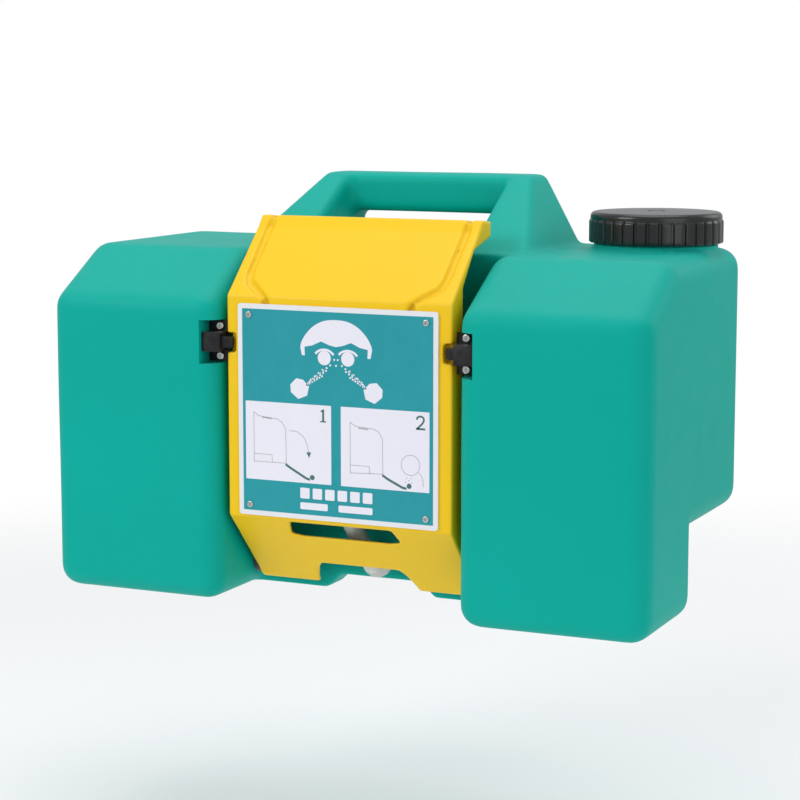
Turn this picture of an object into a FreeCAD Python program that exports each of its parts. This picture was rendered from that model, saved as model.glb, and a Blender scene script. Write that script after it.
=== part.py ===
import FreeCAD, Part
import math
import os
import re
import Sketcher
from FreeCAD import Placement, Rotation, Vector

# A portable gravity-fed eyewash station: a moulded water tank that hangs on a shelf by its rear
# body, and a swing-down arm that carries the hose, the manifold and two nozzles.
# The part is drawn in the tank's own frame: X across, Y from the front of the wings to the rear,
# Z up from the underside of the wings.  Every finished piece is then moved so that the origin lies
# in the middle of the shelf seat, the underside of the rear body.

os.makedirs("parts", exist_ok=True)
doc = FreeCAD.newDocument("EyewashStation")

sizes = {
    # tank
    "tank_width": 600, "tank_height": 329, "tank_depth": 283, "tank_wall": 5,
    "wing_depth": 140, "seat_height": 79, "slope_rise": 46, "slope_run": 78,
    "channel_half": 120, "channel_depth": 102, "notch_half": 42, "notch_foot_half": 56,
    "notch_rise": 14, "edge_round": 20,
    # handle, moulded with the tank
    "handle_top": 396, "handle_rear": 258, "handle_front": 107, "bar_front": 214, "bar_low": 357,
    "handle_top_half": 109, "handle_base_half": 146, "grip_half": 84, "handle_round": 9,
    # filler neck and cap
    "neck_across": 233, "neck_back": 218, "neck_radius": 54, "neck_wall": 4.5, "neck_rise": 30,
    "flange_radius": 58, "flange_rise": 5.5, "cap_radius": 61.6, "cap_rise": 29, "cap_gap": 1,
    "cap_top": 3.5, "cap_skirt": 3.4, "rib_count": 34, "rib_proud": 1.2, "rib_width": 8.4,
    "rib_drop": 7.5, "vent_radius": 6,
    # swing-down arm
    "arm_half": 113, "arm_front": 12, "arm_wall": 4, "arm_flange": 26, "bend_low": 84,
    "bend_high": 290, "foot_back": 79, "foot_low": 12, "pivot_back": 84, "pivot_high": 26,
    "lug_radius": 14, "lug_length": 16, "lip_back": 103, "lip_start": 74, "lip_start_high": 349,
    "lip_high": 360, "lip_low": 344, "slot_half": 56, "slot_low": 66, "slot_high": 81,
    "arch_half": 40, "arch_foot_half": 54, "arch_high": 35, "groove_half": 96, "groove_width": 6,
    "groove_deep": 2.6, "groove_neck_half": 70, "groove_turn_high": 306,
    # sign on the arm
    "sign_half": 100.5, "sign_low": 86, "sign_high": 283, "sign_thick": 2, "sign_screw_inset": 11.5,
    "sign_screw_radius": 1.5, "sign_head_radius": 3, "sign_nut_radius": 3.2,
    # catches
    "catch_high": 246, "catch_across": 124, "catch_screw_rise": 14, "pocket_deep": 23,
    "pocket_side": 16.5, "pocket_half": 20, "catch_plate_half": 19, "catch_plate_thick": 3,
    "catch_block_half": 9, "catch_chamber_half": 7, "catch_nose_half": 5, "catch_wall": 2.2,
    "nose_tip": 107, "nose_front": 8, "nose_back": 18, "slide_gap": 0.1,
    "spring_radius": 3, "spring_wire": 0.9, "spring_turns": 6,
    "catch_screw_radius": 2, "catch_head_radius": 3.9, "catch_head_thick": 2.4,
    "catch_screw_length": 14, "screw_gap": 0.05,
    # pivots
    "pin_radius": 5, "pin_deep": 15, "bush_wall": 2, "pin_gap": 0.05, "clip_thick": 1.5,
    "washer_radius": 11,
    # water path
    "outlet_high": 32, "outlet_stem": 8.5, "outlet_flange": 15,
    "outlet_flange_thick": 5, "seal_thick": 2, "nut_radius": 12, "nut_thick": 7,
    "elbow_radius": 8.2, "elbow_out": 15, "barb_radius": 6.3, "barb_bore": 4.2, "barb_length": 20,
    "hose_radius": 9, "hose_bore": 6.5, "hose_bend": 60, "clamp_wall": 1.2, "clamp_width": 9,
    "manifold_high": 262, "manifold_back": 36, "manifold_radius": 11, "manifold_bore": 8,
    "manifold_half": 62, "nozzle_across": 46, "nozzle_stem": 8, "nozzle_root": 14,
    "nozzle_mouth": 21, "nozzle_length": 30, "nozzle_wall": 2.5, "saddle_across": 27,
    "saddle_width": 12, "boss_half": 21, "strap_screw_rise": 17, "strap_screw_radius": 1.5,
    "strap_thick": 2.5, "clip_high": 160, "clip_screw_across": 15, "clip_half": 6, "fit_gap": 0.1,
}
sheet = doc.addObject("Spreadsheet::Sheet", "Sizes")
for row, (alias, size) in enumerate(sizes.items(), 1):
    sheet.set(f"A{row}", alias)
    sheet.set(f"B{row}", str(size))
    sheet.setAlias(f"B{row}", alias)
doc.recompute()


def bound(text):
    """Turn the alias words of a formula into references to the sheet."""
    return re.sub(r"\b(?!(?:sqrt|cos|sin|tan)\b)([a-z]\w*)\b", r"Sizes.\1", str(text))


def number(text):
    """Work out a formula of alias words now."""
    return float(sheet.evalExpression(str(text)))


def new_body(label):
    body = doc.addObject("PartDesign::Body", label)
    body.Label = label
    return body


def origin_plane(body, role):
    return next(item for item in body.Origin.OriginFeatures if item.Role == role)


def outline(body, role, points, lift=None):
    """A closed polygon on an origin plane, each corner held by two dimensions from the sheet."""
    sketch = body.newObject("Sketcher::SketchObject", "Outline")
    sketch.AttachmentSupport = (origin_plane(body, role), [""])
    sketch.MapMode = "FlatFace"
    if lift:
        sketch.setExpression("AttachmentOffset.Base.z", bound(lift))
    places = [(number(across), number(up)) for across, up in points]
    count = len(points)
    for index, place in enumerate(places):
        following = places[(index + 1) % count]
        sketch.addGeometry(Part.LineSegment(Vector(*place, 0), Vector(*following, 0)))
    for index in range(count):
        sketch.addConstraint(Sketcher.Constraint("Coincident", index, 2, (index + 1) % count, 1))
    for index, corner in enumerate(points):
        for kind, formula, size, axis in zip(("DistanceX", "DistanceY"), corner, places[index], (-2, -1)):
            if abs(size) < 1e-9:
                sketch.addConstraint(Sketcher.Constraint("PointOnObject", index, 1, axis))
            else:
                made = sketch.addConstraint(Sketcher.Constraint(kind, -1, 1, index, 1, size))
                sketch.setExpression(f"Constraints[{made}]", bound(formula))
    return sketch


def pad(body, sketch, length, side="Symmetric"):
    feature = body.newObject("PartDesign::Pad", "Pad")
    feature.Profile = sketch
    feature.SideType = side
    feature.setExpression("Length", bound(length))
    doc.recompute()
    return feature


def pocket(body, sketch, length=None, side="Symmetric", reverse=False):
    before = body.Tip.Shape.Volume
    feature = body.newObject("PartDesign::Pocket", "Pocket")
    feature.Profile = sketch
    feature.SideType = side
    feature.Reversed = reverse
    if length:
        feature.setExpression("Length", bound(length))
    else:
        feature.Type = "ThroughAll"
    doc.recompute()
    if feature.Shape.Volume > before - 1e-6:
        raise ValueError(f"a pocket of {body.Label} cut nothing")
    return feature


def edge_names(shape, wanted):
    """The names of the edges whose middle and direction pass a test."""
    names = []
    for index, edge in enumerate(shape.Edges, 1):
        middle = edge.valueAt((edge.FirstParameter + edge.LastParameter) / 2)
        along = edge.tangentAt((edge.FirstParameter + edge.LastParameter) / 2)
        if wanted(middle, along):
            names.append(f"Edge{index}")
    return names


def fillet(body, radius, wanted):
    base = body.Tip
    feature = body.newObject("PartDesign::Fillet", "Fillet")
    feature.Base = (base, edge_names(base.Shape, wanted))
    feature.setExpression("Radius", bound(radius))
    doc.recompute()
    return feature


def whole(*items):
    """A fused object of several pieces, kept in the tank's frame."""
    fused = doc.addObject("Part::MultiFuse", "Fused")
    fused.Shapes = list(items)
    doc.recompute()
    return fused


def difference(base, tool, label=None):
    cut = doc.addObject("Part::Cut", label or "Cut")
    cut.Base = base
    cut.Tool = tool
    if label:
        cut.Label = label
    doc.recompute()
    return cut


finished = []


def finish(item, label):
    """Name a sub-part and move it from the tank's frame to the seat's frame."""
    item.Label = label
    here = item.Placement.Base
    item.setExpression("Placement.Base.y", bound(f"{here.y} - (wing_depth + tank_depth) / 2"))
    item.setExpression("Placement.Base.z", bound(f"{here.z} - seat_height"))
    finished.append(item)
    return item


def feature(label, shape):
    """A sub-part whose shape is worked out below, in the tank's frame."""
    item = doc.addObject("Part::Feature", label)
    item.Shape = shape
    return finish(item, label)


def size(text):
    return number(text)


def at(across, back, high):
    return Vector(size(across), size(back), size(high))


def rod(start, along, radius, length):
    return Part.makeCylinder(radius, length, start, along)


def block(low, high):
    reach = high.sub(low)
    return Part.makeBox(reach.x, reach.y, reach.z, low)


def turned(points, base, along):
    """A solid of revolution from (radius, distance) pairs, set at base and pointing along."""
    corners = [Vector(size(radius), 0, size(reach)) for radius, reach in points]
    face = Part.Face(Part.makePolygon(corners + corners[:1]))
    shape = face.revolve(Vector(), Vector(0, 0, 1), 360)
    shape.Placement = Placement(base, Rotation(Vector(0, 0, 1), along))
    return shape


RIGHT, BACK, UP = Vector(1, 0, 0), Vector(0, 1, 0), Vector(0, 0, 1)


# ---- tank ----------------------------------------------------------------------------------------

def tank_form(inset):
    """The tank's outside, or its cavity when drawn smaller by inset: two wings and a rear body."""
    slant = f"{inset} * sqrt(1 + (slope_rise / slope_run)^2)"
    side = [(inset, inset), (f"wing_depth - {inset}", inset),
            (f"wing_depth - {inset}", f"tank_height - {inset}"),
            (f"(slope_rise - {inset} + {slant}) * slope_run / slope_rise", f"tank_height - {inset}"),
            (inset, f"tank_height - slope_rise + {inset} * slope_rise / slope_run - {slant}")]
    wing = new_body("Wing")
    wing_outline = outline(wing, "YZ_Plane", side, f"channel_half + {inset}")
    pad(wing, wing_outline, f"tank_width / 2 - channel_half - 2 * {inset}", "One side")
    fillet(wing, f"edge_round - {inset}", lambda at, along: True)
    other = doc.addObject("Part::Mirroring", "OtherWing")
    other.Source = wing
    other.Normal = RIGHT
    rear = new_body("RearBody")
    start = f"channel_depth + {inset}"
    plan = [(start, f"seat_height + {inset}"), (f"tank_depth - {inset}", f"seat_height + {inset}"),
            (f"tank_depth - {inset}", f"tank_height - {inset}"), (start, f"tank_height - {inset}")]
    pad(rear, outline(rear, "YZ_Plane", plan), f"tank_width - 2 * {inset}")
    front = number(start)
    fillet(rear, f"edge_round - {inset}", lambda at, along: at.y > front + 1)
    bridge = new_body("Bridge")
    foot = f"notch_foot_half + {inset}"
    reach = "channel_half + edge_round * 2"
    base = [(f"-({reach})", inset), (f"-({foot})", inset),
            (f"-(notch_half + {inset})", f"notch_rise + {inset}"),
            (f"notch_half + {inset}", f"notch_rise + {inset}"), (foot, inset), (reach, inset),
            (reach, "seat_height * 1.5"), (f"-({reach})", "seat_height * 1.5")]
    bridge_outline = outline(bridge, "XZ_Plane", base, f"-({start})")
    block_out = pad(bridge, bridge_outline, f"wing_depth - channel_depth - 2 * {inset}", "One side")
    block_out.Reversed = True
    doc.recompute()
    return whole(wing, other, rear, bridge)


def handle_form(inset):
    """The carrying handle: a grip bar between two uprights that slope forward into the tank."""
    handle = new_body("Handle")
    sink = "tank_height - edge_round"
    wedge = [(f"handle_front + 2 * {inset}", sink), (f"handle_rear - {inset}", sink),
             (f"handle_rear - {inset}", f"handle_top - {inset}"),
             (f"bar_front + {inset}", f"handle_top - {inset}"),
             (f"handle_front + 2 * {inset}", "tank_height")]
    pad(handle, outline(handle, "YZ_Plane", wedge), f"2 * (handle_base_half - {inset})")
    over = "handle_top + 1"
    for side in ("", "-"):
        outside = [(f"{side}(handle_base_half - {inset})", "tank_height + 1"),
                   (f"{side}(handle_top_half - {inset})", over),
                   (f"{side}(handle_base_half + 1)", over)]
        pocket(handle, outline(handle, "XZ_Plane", outside))
    gap = [("0", f"tank_height - {inset}"), ("handle_rear + 1", f"tank_height - {inset}"),
           ("handle_rear + 1", f"bar_low + {inset}"), (f"bar_front + {inset}", f"bar_low + {inset}"),
           (f"bar_front + {inset}", over), ("0", over)]
    pocket(handle, outline(handle, "YZ_Plane", gap), f"2 * (grip_half + {inset})")
    tank_top = number("tank_height")
    if inset == "0":
        fillet(handle, "handle_round", lambda at, along: at.z > tank_top + 2)
    return handle


def raw(shape, name="Tool"):
    """A helper shape that stays in the tank's frame and isn't a piece."""
    item = doc.addObject("Part::Feature", name)
    item.Shape = shape
    return item


def both_sides(shape):
    """The right-hand shape and its mirror image."""
    return {"right": shape, "left": shape.mirror(Vector(), RIGHT)}


def two_sided(shape):
    return Part.makeCompound(list(both_sides(shape).values()))


neck_at = at("neck_across", "neck_back", "tank_height")
neck = raw(turned(
    [("0", "-edge_round"), ("neck_radius", "-edge_round"), ("neck_radius", "0"),
     ("flange_radius", "flange_rise / 3"), ("flange_radius", "flange_rise"),
     ("neck_radius", "flange_rise"), ("neck_radius", "neck_rise"), ("0", "neck_rise")],
    neck_at, UP), "Neck")
bore = raw(rod(neck_at - UP * size("2 * edge_round"), UP, size("neck_radius - neck_wall"),
               size("neck_rise + 2 * edge_round + 1")), "NeckBore")

catch_at = at("catch_across", 0, "catch_high")
catch_corner = block(at("channel_half - 2", "-2", "catch_high - pocket_half - tank_wall"),
                     at("channel_half + pocket_side + tank_wall", "pocket_deep + catch_screw_length",
                        "catch_high + pocket_half + tank_wall"))
pivot_corner = block(at("channel_half - 2", "pivot_back - 3 * pin_radius", "-1"),
                     at("channel_half + pin_deep + tank_wall", "pivot_back + 3 * pin_radius",
                        "pivot_high + 3 * pin_radius"))
catch_pocket = block(at("channel_half - 2", "-2", "catch_high - pocket_half"),
                     at("channel_half + pocket_side", "pocket_deep", "catch_high + pocket_half"))
screw_holes = [rod(at("catch_across", "pocket_deep - 1", f"catch_high {sign} catch_screw_rise"), BACK,
                   size("catch_screw_radius + screw_gap"), size("catch_screw_length"))
               for sign in "+-"]
pivot_hole = rod(at("channel_half - 1", "pivot_back", "pivot_high"), RIGHT,
                 size("pin_radius + screw_gap"), size("pin_deep + 1"))
outlet_hole = rod(at(0, "channel_depth - 1", "outlet_high"), BACK,
                  size("outlet_stem + fit_gap"), size("tank_wall + 2"))

outside = whole(tank_form("0"), handle_form("0"), neck)
inside = whole(tank_form("tank_wall"), handle_form("tank_wall"), bore)
water_space = difference(inside, raw(Part.makeCompound(
    [two_sided(catch_corner), two_sided(pivot_corner)]), "SolidCorners"))
hollow = difference(outside, water_space)
recesses = raw(Part.makeCompound([two_sided(shape) for shape in
                                  (catch_pocket, *screw_holes, pivot_hole)] + [outlet_hole]), "Recesses")
finish(difference(hollow, recesses, "tank_shell"), "tank_shell")


# ---- filler cap ----------------------------------------------------------------------------------

cap_base = "flange_rise + cap_gap"
cap_head = f"{cap_base} + cap_rise"
cap_under = f"{cap_head} - cap_top"
cap = turned(
    [("vent_radius * 0.6", cap_head + " - 1.5"), ("vent_radius + fit_gap", cap_head + " - 1.5"),
     ("vent_radius + fit_gap", cap_head), ("cap_radius - 6", cap_head),
     ("cap_radius - 2", cap_head + " - 1.2"), ("cap_radius", cap_head + " - 4.5"),
     ("cap_radius", cap_base), ("cap_radius - cap_skirt", cap_base),
     ("cap_radius - cap_skirt", cap_under), ("vent_radius * 0.6", cap_under)], neck_at, UP)
rib_count = round(size("rib_count"))
ribs = []
for turn in range(rib_count):
    rib = block(Vector(size("cap_radius - 1"), -size("rib_width / 2"), 0),
                Vector(size("cap_radius + rib_proud"), size("rib_width / 2"), size("cap_rise - rib_drop")))
    rib.Placement = Placement(neck_at + UP * size(cap_base), Rotation(UP, 360 / rib_count * turn))
    ribs.append(rib)
feature("fill_cap", cap.fuse(ribs).removeSplitter())
feature("cap_gasket", turned(
    [("neck_radius - neck_wall - 1", "neck_rise"), ("neck_radius + 1", "neck_rise"),
     ("neck_radius + 1", cap_under), ("neck_radius - neck_wall - 1", cap_under)], neck_at, UP))
feature("cap_vent_plug", turned(
    [("0", cap_head + " - 0.2"), ("vent_radius", cap_head + " - 0.2"),
     ("vent_radius", cap_head + " - 1.5"), ("vent_radius * 0.6 - fit_gap", cap_head + " - 1.5"),
     ("vent_radius * 0.6 - fit_gap", cap_under), ("vent_radius", cap_under + " - 1"),
     ("vent_radius", cap_under + " - 2"), ("0", cap_under + " - 2")], neck_at, UP))


# ---- catches -------------------------------------------------------------------------------------

plate_front = "pocket_deep - catch_plate_thick"
catch_out = "channel_half + pocket_side - 0.5"
catch_in = "channel_half - 3"
chamber_out = f"{catch_out} - catch_wall"
plate = block(at("arm_half + 1.5", plate_front, "catch_high - catch_plate_half"),
              at(catch_out, "pocket_deep", "catch_high + catch_plate_half"))
housing = block(at(catch_in, "nose_front - catch_wall - 0.8", "catch_high - catch_block_half"),
                at(catch_out, plate_front, "catch_high + catch_block_half"))
chamber = block(at(f"{catch_in} + catch_wall", "nose_front - 0.8",
                   "catch_high - catch_chamber_half - slide_gap"),
                at(chamber_out, "nose_back + 0.8", "catch_high + catch_chamber_half + slide_gap"))
mouth = block(at("catch_across - 20", "nose_front - slide_gap", "catch_high - catch_nose_half - slide_gap"),
              at("catch_across", "nose_back + slide_gap", "catch_high + catch_nose_half + slide_gap"))
plate_holes = [rod(at("catch_across", f"{plate_front} - 1", f"catch_high {sign} catch_screw_rise"), BACK,
                   size("catch_screw_radius + screw_gap"), size("catch_plate_thick + 2"))
               for sign in "+-"]
catch_body = plate.fuse(housing).cut(Part.makeCompound([chamber, mouth] + plate_holes)).removeSplitter()

collar_in = f"{catch_in} + catch_wall + slide_gap"
collar_out = f"{collar_in} + 2.6"
tip = [("nose_tip", "nose_front + 3.5"), ("nose_tip + 5", "nose_front"), (collar_out, "nose_front"),
       (collar_out, "nose_back"), ("nose_tip + 5", "nose_back"), ("nose_tip", "nose_back - 3.5")]
tip_corners = [at(across, back, "catch_high - catch_nose_half") for across, back in tip]
nose = Part.Face(Part.makePolygon(tip_corners + tip_corners[:1])).extrude(UP * size("2 * catch_nose_half"))
collar = block(at(collar_in, "nose_front - 0.6", "catch_high - catch_chamber_half"),
               at(collar_out, "nose_back + 0.6", "catch_high + catch_chamber_half"))
spring_seat = "nose_tip + 4"
spring_line = at(spring_seat, "(nose_front + nose_back) / 2", "catch_high")
nose = nose.fuse(collar).cut(rod(spring_line, RIGHT, size("spring_radius + spring_wire / 2 + 0.25"), 40))
spring_length = size(f"{chamber_out} - ({spring_seat}) - spring_wire")
coil = Part.makeHelix(spring_length / size("spring_turns"), spring_length, size("spring_radius"))
wire_end = Part.Wire(Part.makeCircle(size("spring_wire / 2"), Vector(size("spring_radius"), 0, 0), BACK))
spring = Part.Wire(coil).makePipeShell([wire_end], True, True)
spring.Placement = Placement(spring_line + RIGHT * size("spring_wire / 2"), Rotation(UP, RIGHT))
for side, shape in both_sides(catch_body).items():
    feature(f"catch_body_{side}", shape)
for side, shape in both_sides(nose.removeSplitter()).items():
    feature(f"catch_nose_{side}", shape)
for side, shape in both_sides(spring).items():
    feature(f"catch_spring_{side}", shape)


def pan_screw(seat, along, radius, head_radius, head_thick, length):
    """A pan-head screw with a cross recess, its head's underside at seat."""
    head = Part.makeCylinder(head_radius, head_thick)
    top_edge = max(head.Edges, key=lambda edge: edge.CenterOfMass.z)
    head = head.makeFillet(head_thick * 0.45, [top_edge])
    slot = [Part.makeBox(head_radius * 1.1, head_radius * 0.28, head_thick * 0.6,
                         Vector(-head_radius * 0.55, -head_radius * 0.14, head_thick * 0.5)),
            Part.makeBox(head_radius * 0.28, head_radius * 1.1, head_thick * 0.6,
                         Vector(-head_radius * 0.14, -head_radius * 0.55, head_thick * 0.5))]
    screw = head.cut(slot).fuse(Part.makeCylinder(radius, length, Vector(0, 0, -length)))
    screw.Placement = Placement(seat, Rotation(UP, along))
    return screw


FRONT = BACK * -1
catch_screws = [pan_screw(at(f"{side}catch_across", plate_front, f"catch_high {sign} catch_screw_rise"),
                          FRONT, size("catch_screw_radius"), size("catch_head_radius"),
                          size("catch_head_thick"), size("catch_screw_length"))
                for side in ("", "-") for sign in "+-"]
feature("catch_screws", Part.makeCompound(catch_screws))


# ---- swing-down arm ------------------------------------------------------------------------------

low_run, low_rise = "(foot_back - arm_front)", "(bend_low - foot_low)"
high_run, high_rise = "(lip_start - arm_front)", "(lip_start_high - bend_high)"
flange_back = "arm_front + arm_flange"


def arm_line(depth):
    """The arm's front face from foot to lip, moved inward by depth."""
    along_low = f"{depth} * sqrt(1 + ({low_run} / {low_rise})^2)"
    drop_high = f"{depth} * sqrt(1 + ({high_rise} / {high_run})^2)"
    lip_at = f"lip_start + 0.85 * {depth}"
    return [(f"foot_back + {along_low}", "foot_low"),
            (f"arm_front + {depth}", f"bend_low + ({along_low} - {depth}) * {low_rise} / {low_run}"),
            (f"arm_front + {depth}", f"bend_high - {drop_high} + {depth} * {high_rise} / {high_run}"),
            (lip_at, f"bend_high - {drop_high} + ({lip_at} - arm_front) * {high_rise} / {high_run}"),
            (f"lip_start + 9 + 0.4 * {depth}", f"lip_high - {depth}")]


arm = new_body("Arm")
arm_side = arm_line("0") + [("lip_back", "lip_high - 2"), ("lip_back", "lip_low"),
                            ("lip_start - 10", "lip_start_high - 15"),
                            (flange_back, "bend_high + 12"), (flange_back, "bend_low + 14"),
                            ("pivot_back + lug_radius / sqrt(2)", "pivot_high + lug_radius / sqrt(2)"),
                            ("pivot_back", "pivot_high - lug_radius")]
pad(arm, outline(arm, "YZ_Plane", arm_side), "2 * arm_half")
half_arm = number("arm_half")
behind = [("lip_back - arm_wall", "lip_high - 2 - arm_wall"), ("lip_back - arm_wall", "lip_low - 20"),
          ("lip_back + 40", "lip_low - 20"), ("lip_back + 40", "-20"),
          ("foot_back + 30", "-20"), ("foot_back + 12", "foot_low - 5")]
pocket(arm, outline(arm, "YZ_Plane", arm_line("arm_wall") + behind), "2 * (arm_half - arm_wall)")
slot = [("-slot_half", "slot_low + 2"), ("-slot_half * 0.8", "slot_low"), ("slot_half * 0.8", "slot_low"),
        ("slot_half", "slot_low + 2"), ("slot_half - 4", "slot_high"), ("-(slot_half - 4)", "slot_high")]
pocket(arm, outline(arm, "XZ_Plane", slot))
arch = [("-(arch_foot_half + 1)", "-1"), ("arch_foot_half + 1", "-1"),
        ("arch_foot_half - 3", "arch_high * 0.5"),
        ("arch_half + 5", "arch_high * 0.86"), ("arch_half", "arch_high"), ("-arch_half", "arch_high"),
        ("-(arch_half + 5)", "arch_high * 0.86"), ("-(arch_foot_half - 3)", "arch_high * 0.5")]
pocket(arm, outline(arm, "XZ_Plane", arch))

bush_outer = "pin_radius + pin_gap + bush_wall"
lug = rod(at("arm_half - lug_length", "pivot_back", "pivot_high"), RIGHT, size("lug_radius"),
          size("lug_length"))
lug_bore = rod(at("arm_half - lug_length - 1", "pivot_back", "pivot_high"), RIGHT,
               size(bush_outer + " + screw_gap"), size("lug_length + 2"))
notch_in = "nose_tip - 3"
keeper = block(at(f"{notch_in} - 3", "arm_front", "catch_high - catch_block_half - 4"),
               at("arm_half", "nose_back + 8", "catch_high + catch_block_half + 4"))
notch = block(at(notch_in, "arm_front - 1", "catch_high - catch_block_half"),
              at("arm_half + 1", "nose_back + 4", "catch_high + catch_block_half"))
boss = block(at("saddle_across - saddle_width / 2", "arm_front + arm_wall", "manifold_high - boss_half"),
             at("saddle_across + saddle_width / 2", "manifold_back - 2", "manifold_high + boss_half"))
cradle = rod(at("saddle_across - saddle_width", "manifold_back", "manifold_high"), RIGHT,
             size("manifold_radius + fit_gap"), size("2 * saddle_width"))
strap_screw_hole = size("strap_screw_radius + screw_gap")
strap_holes = [rod(at("saddle_across", "manifold_back - 12", f"manifold_high {sign} strap_screw_rise"), BACK,
                   strap_screw_hole, 14) for sign in "+-"]

groove_inner = [("groove_half", "lip_high + 4"), ("groove_half + 2", "lip_start_high - 2"),
                ("groove_half", "groove_turn_high + 16"), ("groove_half", "groove_turn_high + 5"),
                ("groove_half - 3", "groove_turn_high - 3"), ("groove_half - 15", "bend_high + 5"),
                ("groove_neck_half", "bend_high - 2"), ("groove_neck_half", "sign_high - 4")]
corners = [(size(across), size(high)) for across, high in groove_inner]
band = size("groove_width")
outer_band = [(across + band, high) for across, high in corners[:4]]
outer_band += [(across + band * 0.8, high - band * 0.6) for across, high in corners[4:6]]
outer_band += [(across + band, high) for across, high in corners[6:]]
ring = [Vector(across, 0, high) for across, high in corners + outer_band[::-1]]
band_shape = Part.Face(Part.makePolygon(ring + ring[:1])).extrude(BACK * 130)
front_line = [(size(back), size(high)) for back, high in arm_line("0")[1:]]
front_line[0] = (front_line[0][0], size("sign_high - 6"))
front_line.append((size("lip_back + 2"), size("lip_high - 2")))
deep_line = [(size(back), size(high)) for back, high in arm_line("groove_deep")[1:]]
deep_line[0] = (deep_line[0][0], size("sign_high - 6"))
deep_line.append((size("lip_back + 2"), size("lip_high - 2 - groove_deep")))
raised = [(back - 2, high + 2) for back, high in front_line]
layer_ring = [Vector(-size("arm_half"), back, high) for back, high in raised + deep_line[::-1]]
layer = Part.Face(Part.makePolygon(layer_ring + layer_ring[:1])).extrude(RIGHT * size("2 * arm_half"))
groove = band_shape.common(layer)

sign_screw_at = [(f"{side}(sign_half - sign_screw_inset)", high) for side in ("", "-")
                 for high in ("sign_low + sign_screw_inset - 1.5", "sign_high - sign_screw_inset + 1.5")]
sign_screw_hole = size("sign_screw_radius + screw_gap")
sign_holes = [rod(at(across, "arm_front - sign_thick - 1", high), BACK, sign_screw_hole,
                  size("arm_wall + sign_thick + 2")) for across, high in sign_screw_at]
clip_screws_at = ["-clip_screw_across", "clip_screw_across"]
clip_holes = [rod(at(across, "arm_front + 1", "clip_high"), BACK, strap_screw_hole, 8)
              for across in clip_screws_at]
arm_solid = whole(arm, raw(two_sided(lug), "Lugs"), raw(two_sided(keeper), "Keepers"),
                  raw(two_sided(boss), "Bosses"))
arm_recesses = (lug_bore, notch, cradle, groove, *strap_holes)
arm_cuts = raw(Part.makeCompound([two_sided(shape) for shape in arm_recesses]
                                 + sign_holes + clip_holes), "ArmRecesses")
finish(difference(arm_solid, arm_cuts, "arm_shell"), "arm_shell")


# ---- sign ----------------------------------------------------------------------------------------

sign_front = "arm_front - sign_thick"
sign = block(at("-sign_half", sign_front, "sign_low"), at("sign_half", "arm_front", "sign_high"))
sign = sign.makeFillet(3, [edge for edge in sign.Edges if abs(edge.tangentAt(0).y) > 0.9])
sign_tools = [rod(at(across, "arm_front - sign_thick - 1", high), BACK,
                  sign_screw_hole, size("sign_thick + 2")) for across, high in sign_screw_at]
feature("sign_plate", sign.cut(sign_tools))
feature("sign_screws", Part.makeCompound(
    [pan_screw(at(across, sign_front, high), FRONT, size("sign_screw_radius"), size("sign_head_radius"), 1.6,
               size("sign_thick + arm_wall + 3.4")) for across, high in sign_screw_at]))


def hexagon_nut(seat, along, radius, hole, thick):
    angles = [math.radians(60 * turn) for turn in range(6)]
    points = [Vector(radius * math.cos(angle), radius * math.sin(angle), 0) for angle in angles]
    nut = Part.Face(Part.makePolygon(points + points[:1])).extrude(UP * thick)
    nut = nut.cut(Part.makeCylinder(hole, thick))
    nut.Placement = Placement(seat, Rotation(UP, along))
    return nut


feature("sign_nuts", Part.makeCompound(
    [hexagon_nut(at(across, "arm_front + arm_wall", high), BACK, size("sign_nut_radius"),
                 size("sign_screw_radius + screw_gap"), 2.4) for across, high in sign_screw_at]))


# ---- pivots --------------------------------------------------------------------------------------

pivot_line = at(0, "pivot_back", "pivot_high")
lug_in = "arm_half - lug_length"
clip_at = f"{lug_in} - 0.3 - clip_thick"
pin_end = f"{clip_at} - 2"
groove_radius = "pin_radius - 1"
pin = turned([("0", pin_end), ("pin_radius - 0.5", pin_end), ("pin_radius", f"{pin_end} + 0.5"),
              ("pin_radius", clip_at), (groove_radius, clip_at), (groove_radius, f"{clip_at} + clip_thick"),
              ("pin_radius", f"{clip_at} + clip_thick"), ("pin_radius", "channel_half + pin_deep - 0.5"),
              ("0", "channel_half + pin_deep - 0.5")], pivot_line, RIGHT)
bush = turned([("pin_radius + pin_gap", lug_in), (bush_outer, lug_in), (bush_outer, "arm_half"),
               ("pin_radius + pin_gap", "arm_half")], pivot_line, RIGHT)
spacer = turned([("pin_radius + pin_gap", "arm_half + 0.3"), ("washer_radius", "arm_half + 0.3"),
                 ("washer_radius", "channel_half"), ("pin_radius + pin_gap", "channel_half")],
                pivot_line, RIGHT)
clip = turned([(groove_radius + " + 0.05", f"{clip_at} + 0.05"), ("pin_radius + 3", f"{clip_at} + 0.05"),
               ("pin_radius + 3", f"{clip_at} + clip_thick - 0.05"),
               (groove_radius + " + 0.05", f"{clip_at} + clip_thick - 0.05")], pivot_line, RIGHT)
clip_mouth = block(at(f"{clip_at} - 1", "pivot_back - pin_radius * 0.7", "pivot_high - 3 * pin_radius"),
                   at(f"{clip_at} + 3", "pivot_back + pin_radius * 0.7", "pivot_high - pin_radius * 0.3"))
clip = clip.cut(clip_mouth)
pivot_parts = {"pivot_pin": pin, "pivot_bush": bush, "pivot_spacer": spacer, "pivot_clip": clip}
for name, shape in pivot_parts.items():
    for side, sided in both_sides(shape).items():
        feature(f"{name}_{side}", sided)


# ---- water path ----------------------------------------------------------------------------------

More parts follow.
